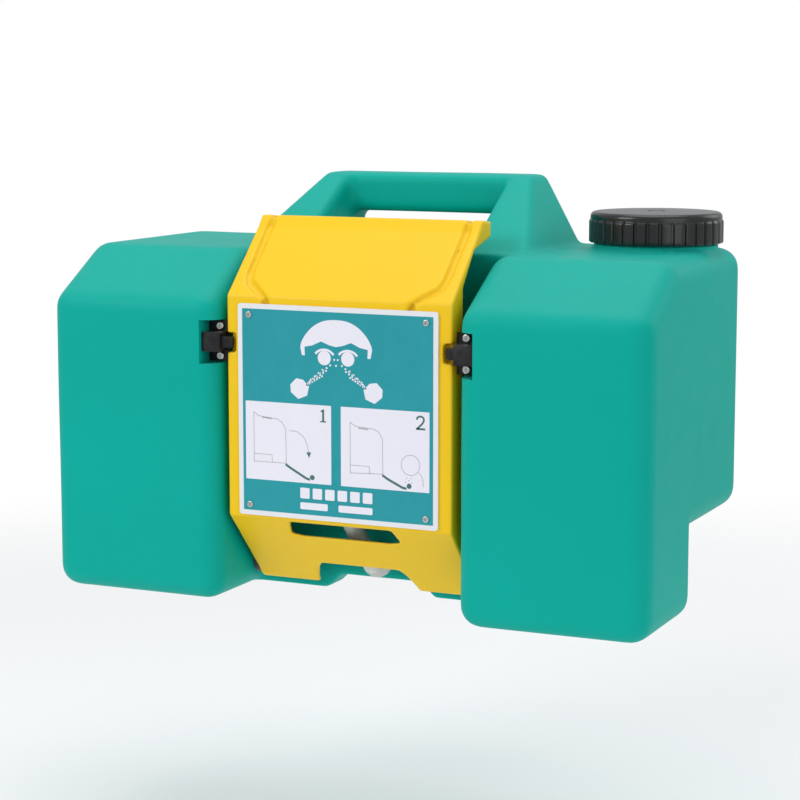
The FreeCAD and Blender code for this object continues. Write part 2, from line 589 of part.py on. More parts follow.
outlet_line = at(0, "channel_depth", "outlet_high")
hose_lean = math.degrees(math.atan2(size("bend_low - foot_low"), size("foot_back - arm_front")))
hose_way = Vector(0, -math.cos(math.radians(hose_lean)), math.sin(math.radians(hose_lean)))
elbow_corner = outlet_line + FRONT * size("seal_thick + outlet_flange_thick + elbow_out * 0.6")
stem_end = "tank_wall + nut_thick + 8"
barb_profile = [("barb_bore", "-1"), ("elbow_radius", "-1"), ("elbow_radius", "8"), ("barb_radius", "8"),
                ("barb_radius", "14"), ("barb_radius + 0.1", "15"), ("barb_radius", "20"),
                ("barb_radius + 0.1", "21"), ("barb_radius - 0.6", "8 + barb_length"),
                ("barb_bore", "8 + barb_length")]
elbow_outer = [rod(outlet_line + FRONT * size("seal_thick + outlet_flange_thick"), BACK,
                   size("outlet_flange"), size("outlet_flange_thick")),
               rod(elbow_corner, BACK, size("elbow_radius"), size("elbow_out * 0.6 + 1")),
               Part.makeSphere(size("elbow_radius + 0.8"), elbow_corner),
               rod(outlet_line + FRONT * size("seal_thick + 1"), BACK, size("outlet_stem"),
                   size(f"{stem_end} + seal_thick + 1"))]
elbow_bores = [rod(elbow_corner, BACK, size("barb_bore"), 60),
               Part.makeSphere(size("barb_bore + 0.4"), elbow_corner),
               rod(elbow_corner, hose_way, size("barb_bore"), 60)]
elbow_outer.append(turned(barb_profile, elbow_corner, hose_way))
elbow = elbow_outer[0].fuse(elbow_outer[1:]).cut(elbow_bores)
feature("outlet_elbow", elbow.removeSplitter())
feature("outlet_gasket", turned(
    [("outlet_stem + fit_gap", "0"), ("outlet_flange - 1", "0"), ("outlet_flange - 1", "seal_thick"),
     ("outlet_stem + fit_gap", "seal_thick")], outlet_line, FRONT))
feature("outlet_nut", hexagon_nut(outlet_line + BACK * size("tank_wall"), BACK, size("nut_radius"),
                                  size("outlet_stem + screw_gap"), size("nut_thick")))
strainer = turned([("outlet_stem - 2", "0"), ("outlet_stem", "0"), ("outlet_stem", "9"), ("0", "9"),
                   ("0", "7"), ("outlet_stem - 2", "7")], outlet_line + BACK * size(stem_end), BACK)
windows = [block(Vector(-20, -1, 2), Vector(20, 1, 5)) for turn in range(3)]
for turn, window in enumerate(windows):
    window.Placement = Placement(outlet_line + BACK * size(stem_end), Rotation(UP, BACK)
                                 * Rotation(UP, 60 * turn))
feature("outlet_strainer", strainer.cut(windows))

hose_start = elbow_corner + hose_way * 8
straight_up = at(0, "manifold_back", 0)
reach = (hose_start.y - size("manifold_back")) / -hose_way.y
hose_corner = hose_start + hose_way * reach
hose_end = at(0, "manifold_back", "manifold_high - manifold_radius - 3")
hose_bend = size("hose_bend")
half_turn = math.radians((90 - hose_lean) / 2)
setback = hose_bend * math.tan(half_turn)
arc_start = hose_corner - hose_way * setback
arc_end = hose_corner + UP * setback
arc_centre = arc_end + BACK * hose_bend
arc_middle = arc_centre + (hose_corner - arc_centre).normalize() * hose_bend
hose_path = Part.Wire([Part.makeLine(hose_start, arc_start),
                       Part.Arc(arc_start, arc_middle, arc_end).toShape(),
                       Part.makeLine(arc_end, hose_end)])


def along_hose(radius):
    ring = Part.Wire(Part.makeCircle(radius, hose_start, hose_way))
    return hose_path.makePipeShell([ring], True, False)


hose = along_hose(size("hose_radius")).cut(along_hose(size("hose_bore")))
expected = math.pi * (size("hose_radius")**2 - size("hose_bore")**2) * hose_path.Length
print("hose length", round(hose_path.Length, 1), "volume ratio", round(hose.Volume / expected, 4))
feature("supply_hose", hose)


def hose_clamp(centre, along):
    """A worm-drive clamp: a band round the hose with its screw housing beside it."""
    outer, width = size("hose_radius + clamp_wall"), size("clamp_width")
    band = Part.makeCylinder(outer, width).fuse(Part.makeBox(6, 9, width, Vector(outer - 2, -4.5, 0)))
    band = band.cut(Part.makeCylinder(size("hose_radius + screw_gap"), width))
    worm = Part.makeCylinder(2, 13, Vector(outer + 1.4, -6.5, width / 2), BACK)
    clamp = band.fuse(worm)
    clamp.Placement = Placement(centre - along * (width / 2), Rotation(UP, along))
    return clamp


feature("hose_clamp_tank", hose_clamp(hose_start + hose_way * 9, hose_way))
feature("hose_clamp_arm", hose_clamp(hose_end - UP * 9, UP))

manifold_line = at(0, "manifold_back", "manifold_high")
inlet_drop = "manifold_radius + 3"
inlet = turned([("0", "0"), ("elbow_radius", "0"), ("elbow_radius", inlet_drop), ("barb_radius", inlet_drop),
                ("barb_radius", f"{inlet_drop} + barb_length"), ("0", f"{inlet_drop} + barb_length")],
               manifold_line, UP * -1)
stem_out = "manifold_radius + nozzle_stem"
stems = [rod(at(f"{side}nozzle_across", "manifold_back", "manifold_high"), BACK, size("nozzle_stem + 1"),
             size(stem_out)) for side in ("", "-")]
stem_bores = [rod(at(f"{side}nozzle_across", "manifold_back", "manifold_high"), BACK, size("barb_bore"), 40)
              for side in ("", "-")]
tube = rod(at("-manifold_half", "manifold_back", "manifold_high"), RIGHT, size("manifold_radius"),
           size("2 * manifold_half"))
tube_bore = rod(at("-manifold_half - 1", "manifold_back", "manifold_high"), RIGHT, size("manifold_bore"),
                size("2 * manifold_half + 2"))
manifold = tube.fuse([inlet] + stems).cut([tube_bore, rod(manifold_line, UP * -1, size("barb_bore"), 60)]
                                          + stem_bores)
feature("nozzle_manifold", manifold.removeSplitter())
plug = turned([("0", "manifold_half - 7"), ("manifold_bore - screw_gap", "manifold_half - 7"),
               ("manifold_bore - screw_gap", "manifold_half"), ("manifold_radius", "manifold_half"),
               ("manifold_radius", "manifold_half + 3"), ("0", "manifold_half + 3")], manifold_line, RIGHT)
nozzle_base = at("nozzle_across", f"manifold_back + {stem_out}", "manifold_high")
bowl = "nozzle_mouth - nozzle_wall"
nozzle = turned([("barb_bore", "0"), ("nozzle_root", "0"), ("nozzle_root", "5"), ("nozzle_mouth", "22"),
                 ("nozzle_mouth", "nozzle_length"), (bowl, "nozzle_length"), (bowl, "nozzle_length - 6"),
                 (f"{bowl} - 1.5", "nozzle_length - 6"), ("nozzle_root - nozzle_wall", "8"),
                 ("barb_bore", "8")], nozzle_base, BACK)
screen = turned([("0", "nozzle_length - 6"), (f"{bowl} - fit_gap", "nozzle_length - 6"),
                 (f"{bowl} - fit_gap", "nozzle_length - 3"), ("0", "nozzle_length - 3")], nozzle_base, BACK)
spray_holes = []
for circle, count in ((0, 1), (6, 8), (12, 16)):
    for turn in range(count):
        angle = 2 * math.pi * turn / count
        start = nozzle_base + Vector(circle * math.cos(angle), 0, circle * math.sin(angle))
        spray_holes.append(rod(start, BACK, 0.9, 40))
screen = screen.cut(spray_holes)

strap = block(at("saddle_across - saddle_width / 2", "manifold_back - 2", "manifold_high - boss_half"),
              at("saddle_across + saddle_width / 2", "manifold_back - 2 + strap_thick",
                 "manifold_high + boss_half"))
arch_band = rod(at("saddle_across - saddle_width / 2", "manifold_back", "manifold_high"), RIGHT,
                size("manifold_radius + fit_gap + strap_thick"), size("saddle_width"))
front_half = block(at(0, "manifold_back - 40", "manifold_high - 30"),
                   at("saddle_across * 3", "manifold_back - 2", "manifold_high + 30"))
strap = strap.fuse(arch_band.cut(front_half)).cut([cradle] + strap_holes).removeSplitter()
for name, shape in (("manifold_plug", plug), ("nozzle", nozzle), ("nozzle_screen", screen),
                    ("manifold_strap", strap)):
    for side, sided in both_sides(shape).items():
        feature(f"{name}_{side}", sided)
strap_screw_size = (size("strap_screw_radius"), 3, 1.8)
strap_screws = [pan_screw(at(f"{side}saddle_across", "manifold_back - 2 + strap_thick",
                             f"manifold_high {sign} strap_screw_rise"), BACK, *strap_screw_size, 12)
                for side in ("", "-") for sign in "+-"]
feature("strap_screws", Part.makeCompound(strap_screws))

clip_low, clip_top = "clip_high - clip_half", "clip_high + clip_half"
clip_base = block(at(-20, "arm_front + arm_wall", clip_low), at(20, "arm_front + arm_wall + 2.5", clip_top))
clip_neck = block(at(-7, "arm_front + arm_wall", clip_low), at(7, "manifold_back - 8", clip_top))
clip_ring = rod(at(0, "manifold_back", clip_low), UP, size("hose_radius + 2.2"), size("2 * clip_half"))
clip_open = block(at(-6, "manifold_back", f"{clip_low} - 1"), at(6, "manifold_back + 20", f"{clip_top} + 1"))
clip_bore = rod(at(0, "manifold_back", f"{clip_low} - 1"), UP, size("hose_radius + fit_gap"),
                size("2 * clip_half + 2"))
hose_clip = clip_base.fuse([clip_neck, clip_ring]).cut([clip_open, clip_bore] + clip_holes)
feature("hose_clip", hose_clip.removeSplitter())
feature("clip_screws", Part.makeCompound(
    [pan_screw(at(across, "arm_front + arm_wall + 2.5", "clip_high"), BACK, *strap_screw_size, 5.3)
     for across in clip_screws_at]))


# ---- check and write -----------------------------------------------------------------------------

doc.recompute()
failed = [item.Label for item in doc.Objects if "Invalid" in item.State or "Error" in item.State]
if failed:
    raise ValueError(f"objects that failed: {failed}")
for item in finished:
    if item.Shape.isNull() or not item.Shape.isValid():
        raise ValueError(f"{item.Label} has no valid shape")
for item in finished:
    item.Shape.exportStep(os.path.join("parts", f"{item.Label}.step"))
    print(item.Label, len(item.Shape.Solids), round(item.Shape.Volume / 1000, 2))
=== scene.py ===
import math
import bmesh
import bpy
from mathutils import Matrix, Vector, noise


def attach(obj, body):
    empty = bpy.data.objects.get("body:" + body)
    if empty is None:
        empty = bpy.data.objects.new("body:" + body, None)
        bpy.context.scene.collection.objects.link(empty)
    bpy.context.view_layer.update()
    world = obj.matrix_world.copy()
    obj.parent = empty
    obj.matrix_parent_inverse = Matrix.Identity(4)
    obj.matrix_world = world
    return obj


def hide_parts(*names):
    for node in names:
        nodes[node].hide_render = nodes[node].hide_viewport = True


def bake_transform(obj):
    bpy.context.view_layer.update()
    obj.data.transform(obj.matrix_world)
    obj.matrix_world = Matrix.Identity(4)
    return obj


# A portable gravity-fed eyewash station: moulded tank, swing-down arm, screw cap, catches, hose and nozzles.
# Lengths are in millimetres from the middle of the tank's front edge line: x across, y to the rear, z up.

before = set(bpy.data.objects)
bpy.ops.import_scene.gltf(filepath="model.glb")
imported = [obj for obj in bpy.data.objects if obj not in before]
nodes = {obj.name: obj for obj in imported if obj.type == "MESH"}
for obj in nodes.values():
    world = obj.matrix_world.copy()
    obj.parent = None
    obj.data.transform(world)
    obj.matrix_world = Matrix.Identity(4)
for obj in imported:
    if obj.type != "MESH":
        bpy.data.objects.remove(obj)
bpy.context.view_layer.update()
scene = bpy.context.scene
shelfSeat = Vector((0, 211.5, 79))      # where the frame's own origin lies on that drawing


def place(x, y, z):
    return (Vector((x, y, z)) - shelfSeat) / 1000


def mm(length):
    return length / 1000


print("frame loaded:", len(nodes), "pieces")

# camera, floor and lights

cameraView = {
    "place": (879.37, -1787.72, 486.26),
    "turn": 24.411,         # degrees to the left of straight ahead
    "dip": 8.178,
    "lens": 100.34,
}
cameraData = bpy.data.cameras.new("stationCamera")
cameraData.lens = cameraView["lens"]
cameraData.sensor_width = 36
cameraData.clip_end = 60
camera = bpy.data.objects.new("stationCamera", cameraData)
camera.location = place(*cameraView["place"])
camera.rotation_euler = (math.radians(90 - cameraView["dip"]), 0, math.radians(cameraView["turn"]))
scene.collection.objects.link(camera)
scene.camera = camera


def meshPiece(name, bm, look=None, smooth=True, sharpAbove=None):
    bmesh.ops.recalc_face_normals(bm, faces=bm.faces)
    for face in bm.faces:
        face.smooth = smooth
    if sharpAbove is not None:
        for edge in bm.edges:
            if len(edge.link_faces) == 2:
                edge.smooth = edge.calc_face_angle(0) < math.radians(sharpAbove)
    mesh = bpy.data.meshes.new(name)
    bm.to_mesh(mesh)
    bm.free()
    piece = bpy.data.objects.new(name, mesh)
    scene.collection.objects.link(piece)
    if look is not None:
        mesh.materials.append(look)
    return piece


def applied(piece):
    # the piece keeps its modifiers' result as its own mesh
    bpy.context.view_layer.update()
    shown = piece.evaluated_get(bpy.context.evaluated_depsgraph_get())
    mesh = bpy.data.meshes.new_from_object(shown)
    mesh.name = piece.name
    piece.modifiers.clear()
    old = piece.data
    piece.data = mesh
    bpy.data.meshes.remove(old)
    return piece


# the station hangs by its seat, so the floor lies clear below the arm when it is swung down
floorPlan = {"half": 3.0, "under": 240.0, "fade": (0.9, 1.9, 1, 0)}
floorMesh = bmesh.new()
floorHeight = place(0, 0, 0).z - mm(floorPlan["under"])
floorCorners = [(-1, -1), (1, -1), (1, 1), (-1, 1)]
floorMesh.faces.new([floorMesh.verts.new((x * floorPlan["half"], y * floorPlan["half"], floorHeight))
                     for x, y in floorCorners])
studioFloor = meshPiece("studioFloor", floorMesh, smooth=False)

lamps = {
    "keyLamp": {"from": (-1500, -1900, 1500), "to": (0, 100, 180), "size": 1.5, "power": 26, "shine": 0.6},
    "fillLamp": {"from": (2200, -1500, 900), "to": (0, 100, 180), "size": 2.2, "power": 12, "shine": 0.2},
    "topLamp": {"from": (100, 300, 2300), "to": (0, 140, 250), "size": 2.0, "power": 19, "shine": 0.4},
    "rearLamp": {"from": (1700, 1900, 1300), "to": (0, 200, 200), "size": 1.6, "power": 9, "shine": 0.4},
}
for lampName, lamp in lamps.items():
    lampData = bpy.data.lights.new(lampName, "AREA")
    lampData.shape = "DISK"
    lampData.size = lamp["size"]
    lampData.energy = lamp["power"]
    lampData.specular_factor = lamp["shine"]
    lampObject = bpy.data.objects.new(lampName, lampData)
    lampObject.location = place(*lamp["from"])
    aim = place(*lamp["to"]) - lampObject.location
    lampObject.rotation_euler = aim.to_track_quat("-Z", "Y").to_euler()
    scene.collection.objects.link(lampObject)

scene.view_settings.view_transform = "Standard"

studioWorld = bpy.data.worlds.new("studioWorld")
studioWorld.use_nodes = True
background = studioWorld.node_tree.nodes["Background"]
background.inputs["Color"].default_value = (0.95, 0.97, 1.0, 1)
background.inputs["Strength"].default_value = 0.60
backdrop = studioWorld.node_tree.nodes.new("ShaderNodeBackground")   # what the camera sees behind the floor
backdrop.inputs["Color"].default_value = (1, 1, 1, 1)
seen = studioWorld.node_tree.nodes.new("ShaderNodeLightPath")
choose = studioWorld.node_tree.nodes.new("ShaderNodeMixShader")
worldOut = studioWorld.node_tree.nodes["World Output"]
studioWorld.node_tree.links.new(seen.outputs["Is Camera Ray"], choose.inputs["Fac"])
studioWorld.node_tree.links.new(background.outputs["Background"], choose.inputs[1])
studioWorld.node_tree.links.new(backdrop.outputs["Background"], choose.inputs[2])
studioWorld.node_tree.links.new(choose.outputs["Shader"], worldOut.inputs["Surface"])
scene.world = studioWorld
print("camera, floor and lights set")

# shader groups


class GroupMaker:
    def __init__(self, name, inputs, outputs):
        self.tree = bpy.data.node_groups.new(name, "ShaderNodeTree")
        for label, kind, value in inputs:
            socket = self.tree.interface.new_socket(label, in_out="INPUT", socket_type=kind)
            socket.default_value = value
        for label, kind in outputs:
            self.tree.interface.new_socket(label, in_out="OUTPUT", socket_type=kind)
        self.start = self.tree.nodes.new("NodeGroupInput")
        self.end = self.tree.nodes.new("NodeGroupOutput")

    def node(self, kind, **settings):
        return addNode(self.tree, kind, **settings)

    def join(self, source, target):
        self.tree.links.new(source, target)


def addNode(tree, kind, **settings):
    made = tree.nodes.new(kind)
    for key, value in settings.items():
        if key in made.bl_rna.properties:
            setattr(made, key, value)
        else:
            made.inputs[key.replace("_", " ")].default_value = value
    return made


number = "NodeSocketFloat"
colour = "NodeSocketColor"

# moulded surface: slow colour drift, orange peel height and uneven gloss
skin = GroupMaker(
    "mouldedSkin",
    [("Colour", colour, (0.5, 0.5, 0.5, 1)), ("Deep Colour", colour, (0.4, 0.4, 0.4, 1)),
     ("Drift Scale", number, 6), ("Peel Scale", number, 420), ("Wave Scale", number, 30),
     ("Wave Share", number, 0.5), ("Roughness", number, 0.4), ("Gloss Spread", number, 0.08)],
    [("Colour", colour), ("Roughness", number), ("Height", number)])
where = skin.node("ShaderNodeTexCoord")
drift = skin.node("ShaderNodeTexNoise", Detail=3.0, Roughness=0.55)
skin.join(where.outputs["Object"], drift.inputs["Vector"])
skin.join(skin.start.outputs["Drift Scale"], drift.inputs["Scale"])
tone = skin.node("ShaderNodeMix", data_type="RGBA")
skin.join(drift.outputs["Fac"], tone.inputs["Factor"])
skin.join(skin.start.outputs["Colour"], tone.inputs["A"])
skin.join(skin.start.outputs["Deep Colour"], tone.inputs["B"])
skin.join(tone.outputs["Result"], skin.end.inputs["Colour"])
peel = skin.node("ShaderNodeTexVoronoi", feature="SMOOTH_F1")
skin.join(where.outputs["Object"], peel.inputs["Vector"])
skin.join(skin.start.outputs["Peel Scale"], peel.inputs["Scale"])
wave = skin.node("ShaderNodeTexNoise", Detail=1.0)
skin.join(where.outputs["Object"], wave.inputs["Vector"])
skin.join(skin.start.outputs["Wave Scale"], wave.inputs["Scale"])
blendHeights = skin.node("ShaderNodeMix", data_type="FLOAT")
skin.join(skin.start.outputs["Wave Share"], blendHeights.inputs["Factor"])
skin.join(peel.outputs["Distance"], blendHeights.inputs["A"])
skin.join(wave.outputs["Fac"], blendHeights.inputs["B"])
skin.join(blendHeights.outputs["Result"], skin.end.inputs["Height"])
glossNoise = skin.node("ShaderNodeTexNoise", Scale=38.0, Detail=4.0)
skin.join(where.outputs["Object"], glossNoise.inputs["Vector"])
centred = skin.node("ShaderNodeMath", operation="SUBTRACT")
skin.join(glossNoise.outputs["Fac"], centred.inputs[0])
centred.inputs[1].default_value = 0.5
spread = skin.node("ShaderNodeMath", operation="MULTIPLY_ADD")
skin.join(centred.outputs[0], spread.inputs[0])
skin.join(skin.start.outputs["Gloss Spread"], spread.inputs[1])
skin.join(skin.start.outputs["Roughness"], spread.inputs[2])
skin.join(spread.outputs[0], skin.end.inputs["Roughness"])

# worn edges and crease shade: convex edges turn paler in patches, as wear; creases are pulled toward the
# crease colour, which is painted shade where it is a darker tone of the part's own colour (tank, arm, print)
# and dirt where it is paler (the black parts)
wearAndCreaseShade = GroupMaker(
    "edgeWearAndCreaseShade",
    [("Colour", colour, (0.5, 0.5, 0.5, 1)), ("Worn Colour", colour, (0.8, 0.8, 0.8, 1)),
     ("Grime Colour", colour, (0.05, 0.05, 0.04, 1)), ("Wear", number, 0.4), ("Grime", number, 0.3)],
    [("Colour", colour), ("Mask", number)])
shape = wearAndCreaseShade.node("ShaderNodeNewGeometry")
patches = wearAndCreaseShade.node("ShaderNodeTexNoise", Scale=45.0, Detail=5.0, Roughness=0.65)
whereWorn = wearAndCreaseShade.node("ShaderNodeTexCoord")
wearAndCreaseShade.join(whereWorn.outputs["Object"], patches.inputs["Vector"])
edges = wearAndCreaseShade.node("ShaderNodeMapRange", From_Min=0.52, From_Max=0.62)
wearAndCreaseShade.join(shape.outputs["Pointiness"], edges.inputs["Value"])
patchy = wearAndCreaseShade.node("ShaderNodeMapRange", From_Min=0.42, From_Max=0.68)
wearAndCreaseShade.join(patches.outputs["Fac"], patchy.inputs["Value"])
wornMask = wearAndCreaseShade.node("ShaderNodeMath", operation="MULTIPLY")
wearAndCreaseShade.join(edges.outputs["Result"], wornMask.inputs[0])
wearAndCreaseShade.join(patchy.outputs["Result"], wornMask.inputs[1])
wornShare = wearAndCreaseShade.node("ShaderNodeMath", operation="MULTIPLY")
wearAndCreaseShade.join(wornMask.outputs[0], wornShare.inputs[0])
wearAndCreaseShade.join(wearAndCreaseShade.start.outputs["Wear"], wornShare.inputs[1])
paler = wearAndCreaseShade.node("ShaderNodeMix", data_type="RGBA")
wearAndCreaseShade.join(wornShare.outputs[0], paler.inputs["Factor"])
wearAndCreaseShade.join(wearAndCreaseShade.start.outputs["Colour"], paler.inputs["A"])
wearAndCreaseShade.join(wearAndCreaseShade.start.outputs["Worn Colour"], paler.inputs["B"])
# painted shade and dirt: below a pointiness of 0.48 the colour is pulled toward the crease colour
creases = wearAndCreaseShade.node("ShaderNodeMapRange", From_Min=0.48, From_Max=0.40)
wearAndCreaseShade.join(shape.outputs["Pointiness"], creases.inputs["Value"])
creaseDirtAndShadeShare = wearAndCreaseShade.node("ShaderNodeMath", operation="MULTIPLY")
wearAndCreaseShade.join(creases.outputs["Result"], creaseDirtAndShadeShare.inputs[0])
wearAndCreaseShade.join(wearAndCreaseShade.start.outputs["Grime"], creaseDirtAndShadeShare.inputs[1])
creaseDirtAndShadeMix = wearAndCreaseShade.node("ShaderNodeMix", data_type="RGBA")
wearAndCreaseShade.join(creaseDirtAndShadeShare.outputs[0], creaseDirtAndShadeMix.inputs["Factor"])
wearAndCreaseShade.join(paler.outputs["Result"], creaseDirtAndShadeMix.inputs["A"])
wearAndCreaseShade.join(wearAndCreaseShade.start.outputs["Grime Colour"], creaseDirtAndShadeMix.inputs["B"])
wearAndCreaseShade.join(creaseDirtAndShadeMix.outputs["Result"], wearAndCreaseShade.end.inputs["Colour"])
wearAndCreaseShade.join(wornMask.outputs[0], wearAndCreaseShade.end.inputs["Mask"])

# fine scuffs: thin lines in two directions that cut the gloss
scuffed = GroupMaker(
    "fineScuffs",
    [("Roughness", number, 0.4), ("Amount", number, 0.2), ("Scale", number, 60)],
    [("Roughness", number), ("Height", number)])
whereScuffed = scuffed.node("ShaderNodeTexCoord")
lines = []
for stretch, turn in (((1, 14, 9), 0.4), ((11, 1.2, 2), -0.7)):
    lay = scuffed.node("ShaderNodeMapping")
    lay.inputs["Scale"].default_value = stretch
    lay.inputs["Rotation"].default_value = (turn, turn * 0.6, turn * 1.7)
    scuffed.join(whereScuffed.outputs["Object"], lay.inputs["Vector"])
    scratch = scuffed.node("ShaderNodeTexNoise", Detail=6.0, Roughness=0.7)
    scuffed.join(scuffed.start.outputs["Scale"], scratch.inputs["Scale"])
    scuffed.join(lay.outputs["Vector"], scratch.inputs["Vector"])
    thin = scuffed.node("ShaderNodeMapRange", From_Min=0.62, From_Max=0.72)
    scuffed.join(scratch.outputs["Fac"], thin.inputs["Value"])
    lines.append(thin)
both = scuffed.node("ShaderNodeMath", operation="MAXIMUM")
scuffed.join(lines[0].outputs["Result"], both.inputs[0])
scuffed.join(lines[1].outputs["Result"], both.inputs[1])
rougher = scuffed.node("ShaderNodeMath", operation="MULTIPLY_ADD")
scuffed.join(both.outputs[0], rougher.inputs[0])
scuffed.join(scuffed.start.outputs["Amount"], rougher.inputs[1])
scuffed.join(scuffed.start.outputs["Roughness"], rougher.inputs[2])
scuffed.join(rougher.outputs[0], scuffed.end.inputs["Roughness"])
scuffed.join(both.outputs[0], scuffed.end.inputs["Height"])

# dust: settles on what faces up
dusty = GroupMaker(
    "settledDust",
    [("Colour", colour, (0.5, 0.5, 0.5, 1)), ("Dust Colour", colour, (0.6, 0.58, 0.52, 1)),
     ("Amount", number, 0.1)],
    [("Colour", colour), ("Mask", number)])
facing = dusty.node("ShaderNodeNewGeometry")
split = dusty.node("ShaderNodeSeparateXYZ")
dusty.join(facing.outputs["Normal"], split.inputs["Vector"])
upward = dusty.node("ShaderNodeMapRange", From_Min=0.35, From_Max=0.95)
dusty.join(split.outputs["Z"], upward.inputs["Value"])
whereDusty = dusty.node("ShaderNodeTexCoord")
specks = dusty.node("ShaderNodeTexNoise", Scale=150.0, Detail=6.0, Roughness=0.7)
dusty.join(whereDusty.outputs["Object"], specks.inputs["Vector"])
settled = dusty.node("ShaderNodeMath", operation="MULTIPLY")
dusty.join(upward.outputs["Result"], settled.inputs[0])
dusty.join(specks.outputs["Fac"], settled.inputs[1])
dustShare = dusty.node("ShaderNodeMath", operation="MULTIPLY")
dusty.join(settled.outputs[0], dustShare.inputs[0])
dusty.join(dusty.start.outputs["Amount"], dustShare.inputs[1])
dulled = dusty.node("ShaderNodeMix", data_type="RGBA")
dusty.join(dustShare.outputs[0], dulled.inputs["Factor"])
dusty.join(dusty.start.outputs["Colour"], dulled.inputs["A"])
dusty.join(dusty.start.outputs["Dust Colour"], dulled.inputs["B"])
dusty.join(dulled.outputs["Result"], dusty.end.inputs["Colour"])
dusty.join(settled.outputs[0], dusty.end.inputs["Mask"])
print("shader groups built")


def newMaterial(name, viewColour):
    look = bpy.data.materials.new(name)
    look.use_nodes = True
    look.diffuse_color = viewColour
    tree = look.node_tree
    tree.nodes.clear()
    shader = tree.nodes.new("ShaderNodeBsdfPrincipled")
    output = tree.nodes.new("ShaderNodeOutputMaterial")
    tree.links.new(shader.outputs["BSDF"], output.inputs["Surface"])
    return look, tree, shader


def useGroup(tree, group, **values):
    made = tree.nodes.new("ShaderNodeGroup")
    made.node_tree = group.tree
    for key, value in values.items():
        made.inputs[key.replace("_", " ")].default_value = value
    return made


def plastic(name, finish):
    look, tree, shader = newMaterial(name, finish["colour"])
    body = useGroup(tree, skin, Colour=finish["colour"], Deep_Colour=finish["deep"],
                    Drift_Scale=finish.get("drift", 5), Peel_Scale=finish.get("peel", 420),
                    Wave_Scale=finish.get("wave", 26), Wave_Share=finish.get("waveShare", 0.4),
                    Roughness=finish["roughness"], Gloss_Spread=finish.get("spread", 0.1))
    # paler worn edges are wear; the crease colour gives painted shade on the coloured parts and dirt on the
    # black ones
    edgesWorn = useGroup(tree, wearAndCreaseShade, Worn_Colour=finish["worn"], Grime_Colour=finish["creaseDirtAndShade"],
                         Wear=finish.get("wear", 0.3), Grime=finish.get("creaseDirtAndShadeShare", 0.4))
    dust = useGroup(tree, dusty, Amount=finish.get("dust", 0.08))
    scuffs = useGroup(tree, scuffed, Amount=finish.get("scuffs", 0.12), Scale=finish.get("scuffScale", 60))
    tree.links.new(body.outputs["Colour"], edgesWorn.inputs["Colour"])
    tree.links.new(edgesWorn.outputs["Colour"], dust.inputs["Colour"])
    tree.links.new(dust.outputs["Colour"], shader.inputs["Base Color"])
    tree.links.new(body.outputs["Roughness"], scuffs.inputs["Roughness"])
    tree.links.new(scuffs.outputs["Roughness"], shader.inputs["Roughness"])
    bump = addNode(tree, "ShaderNodeBump", Strength=finish.get("bump", 0.25),
                   Distance=finish.get("relief", 0.0004))
    tree.links.new(body.outputs["Height"], bump.inputs["Height"])
    tree.links.new(bump.outputs["Normal"], shader.inputs["Normal"])
    shader.inputs["IOR"].default_value = finish.get("ior", 1.5)
    shader.inputs["Specular IOR Level"].default_value = finish.get("specular", 0.5)
    shader.inputs["Coat Weight"].default_value = finish.get("coat", 0.0)
    shader.inputs["Coat Roughness"].default_value = finish.get("coatRoughness", 0.1)
    if "through" in finish:
        shader.inputs["Subsurface Weight"].default_value = finish["through"]
        shader.inputs["Subsurface Radius"].default_value = (0.004, 0.008, 0.006)
        shader.inputs["Subsurface Scale"].default_value = 0.6
    return look


# the tank's crease colour is a darker tone of its own green: painted shade in the creases
tankPlastic = plastic("tankPlastic", {
    "colour": (0.000, 0.410, 0.335, 1), "deep": (0.000, 0.360, 0.292, 1), "worn": (0.05, 0.56, 0.48, 1),
    "creaseDirtAndShade": (0.002, 0.12, 0.09, 1), "roughness": 0.48, "spread": 0.12, "specular": 0.1, "peel": 520,
    "wave": 34, "waveShare": 0.45, "bump": 0.30, "relief": 0.0005, "wear": 0.25, "creaseDirtAndShadeShare": 0.35,
    "dust": 0.05, "scuffs": 0.06})
# the arm's crease colour is a darker tone of its own yellow: painted shade in the creases
armPlastic = plastic("armPlastic", {
    "colour": (0.90, 0.585, 0.006, 1), "deep": (0.86, 0.53, 0.004, 1), "worn": (1.0, 0.82, 0.25, 1),
    "creaseDirtAndShade": (0.42, 0.20, 0.004, 1), "specular": 0.3, "roughness": 0.38, "spread": 0.1, "peel": 620,
    "wave": 22, "waveShare": 0.5, "bump": 0.16, "relief": 0.0004, "wear": 0.35, "creaseDirtAndShadeShare": 0.45,
    "dust": 0.04, "scuffs": 0.1})
capPlastic = plastic("capPlastic", {
    "colour": (0.012, 0.012, 0.012, 1), "deep": (0.008, 0.008, 0.008, 1), "worn": (0.06, 0.06, 0.06, 1),
    "creaseDirtAndShade": (0.02, 0.018, 0.015, 1), "roughness": 0.24, "spread": 0.08, "peel": 700, "wave": 40,
    "waveShare": 0.6, "bump": 0.08, "relief": 0.0003, "wear": 0.3, "dust": 0.05, "scuffs": 0.14})
catchPlastic = plastic("catchPlastic", {
    "colour": (0.007, 0.007, 0.008, 1), "deep": (0.004, 0.004, 0.005, 1), "worn": (0.06, 0.06, 0.06, 1),
    "creaseDirtAndShade": (0.015, 0.015, 0.013, 1), "roughness": 0.42, "specular": 0.3, "peel": 1500,
    "bump": 0.15, "relief": 0.0002,
    "wear": 0.5, "dust": 0.1, "scuffs": 0.2, "scuffScale": 180})
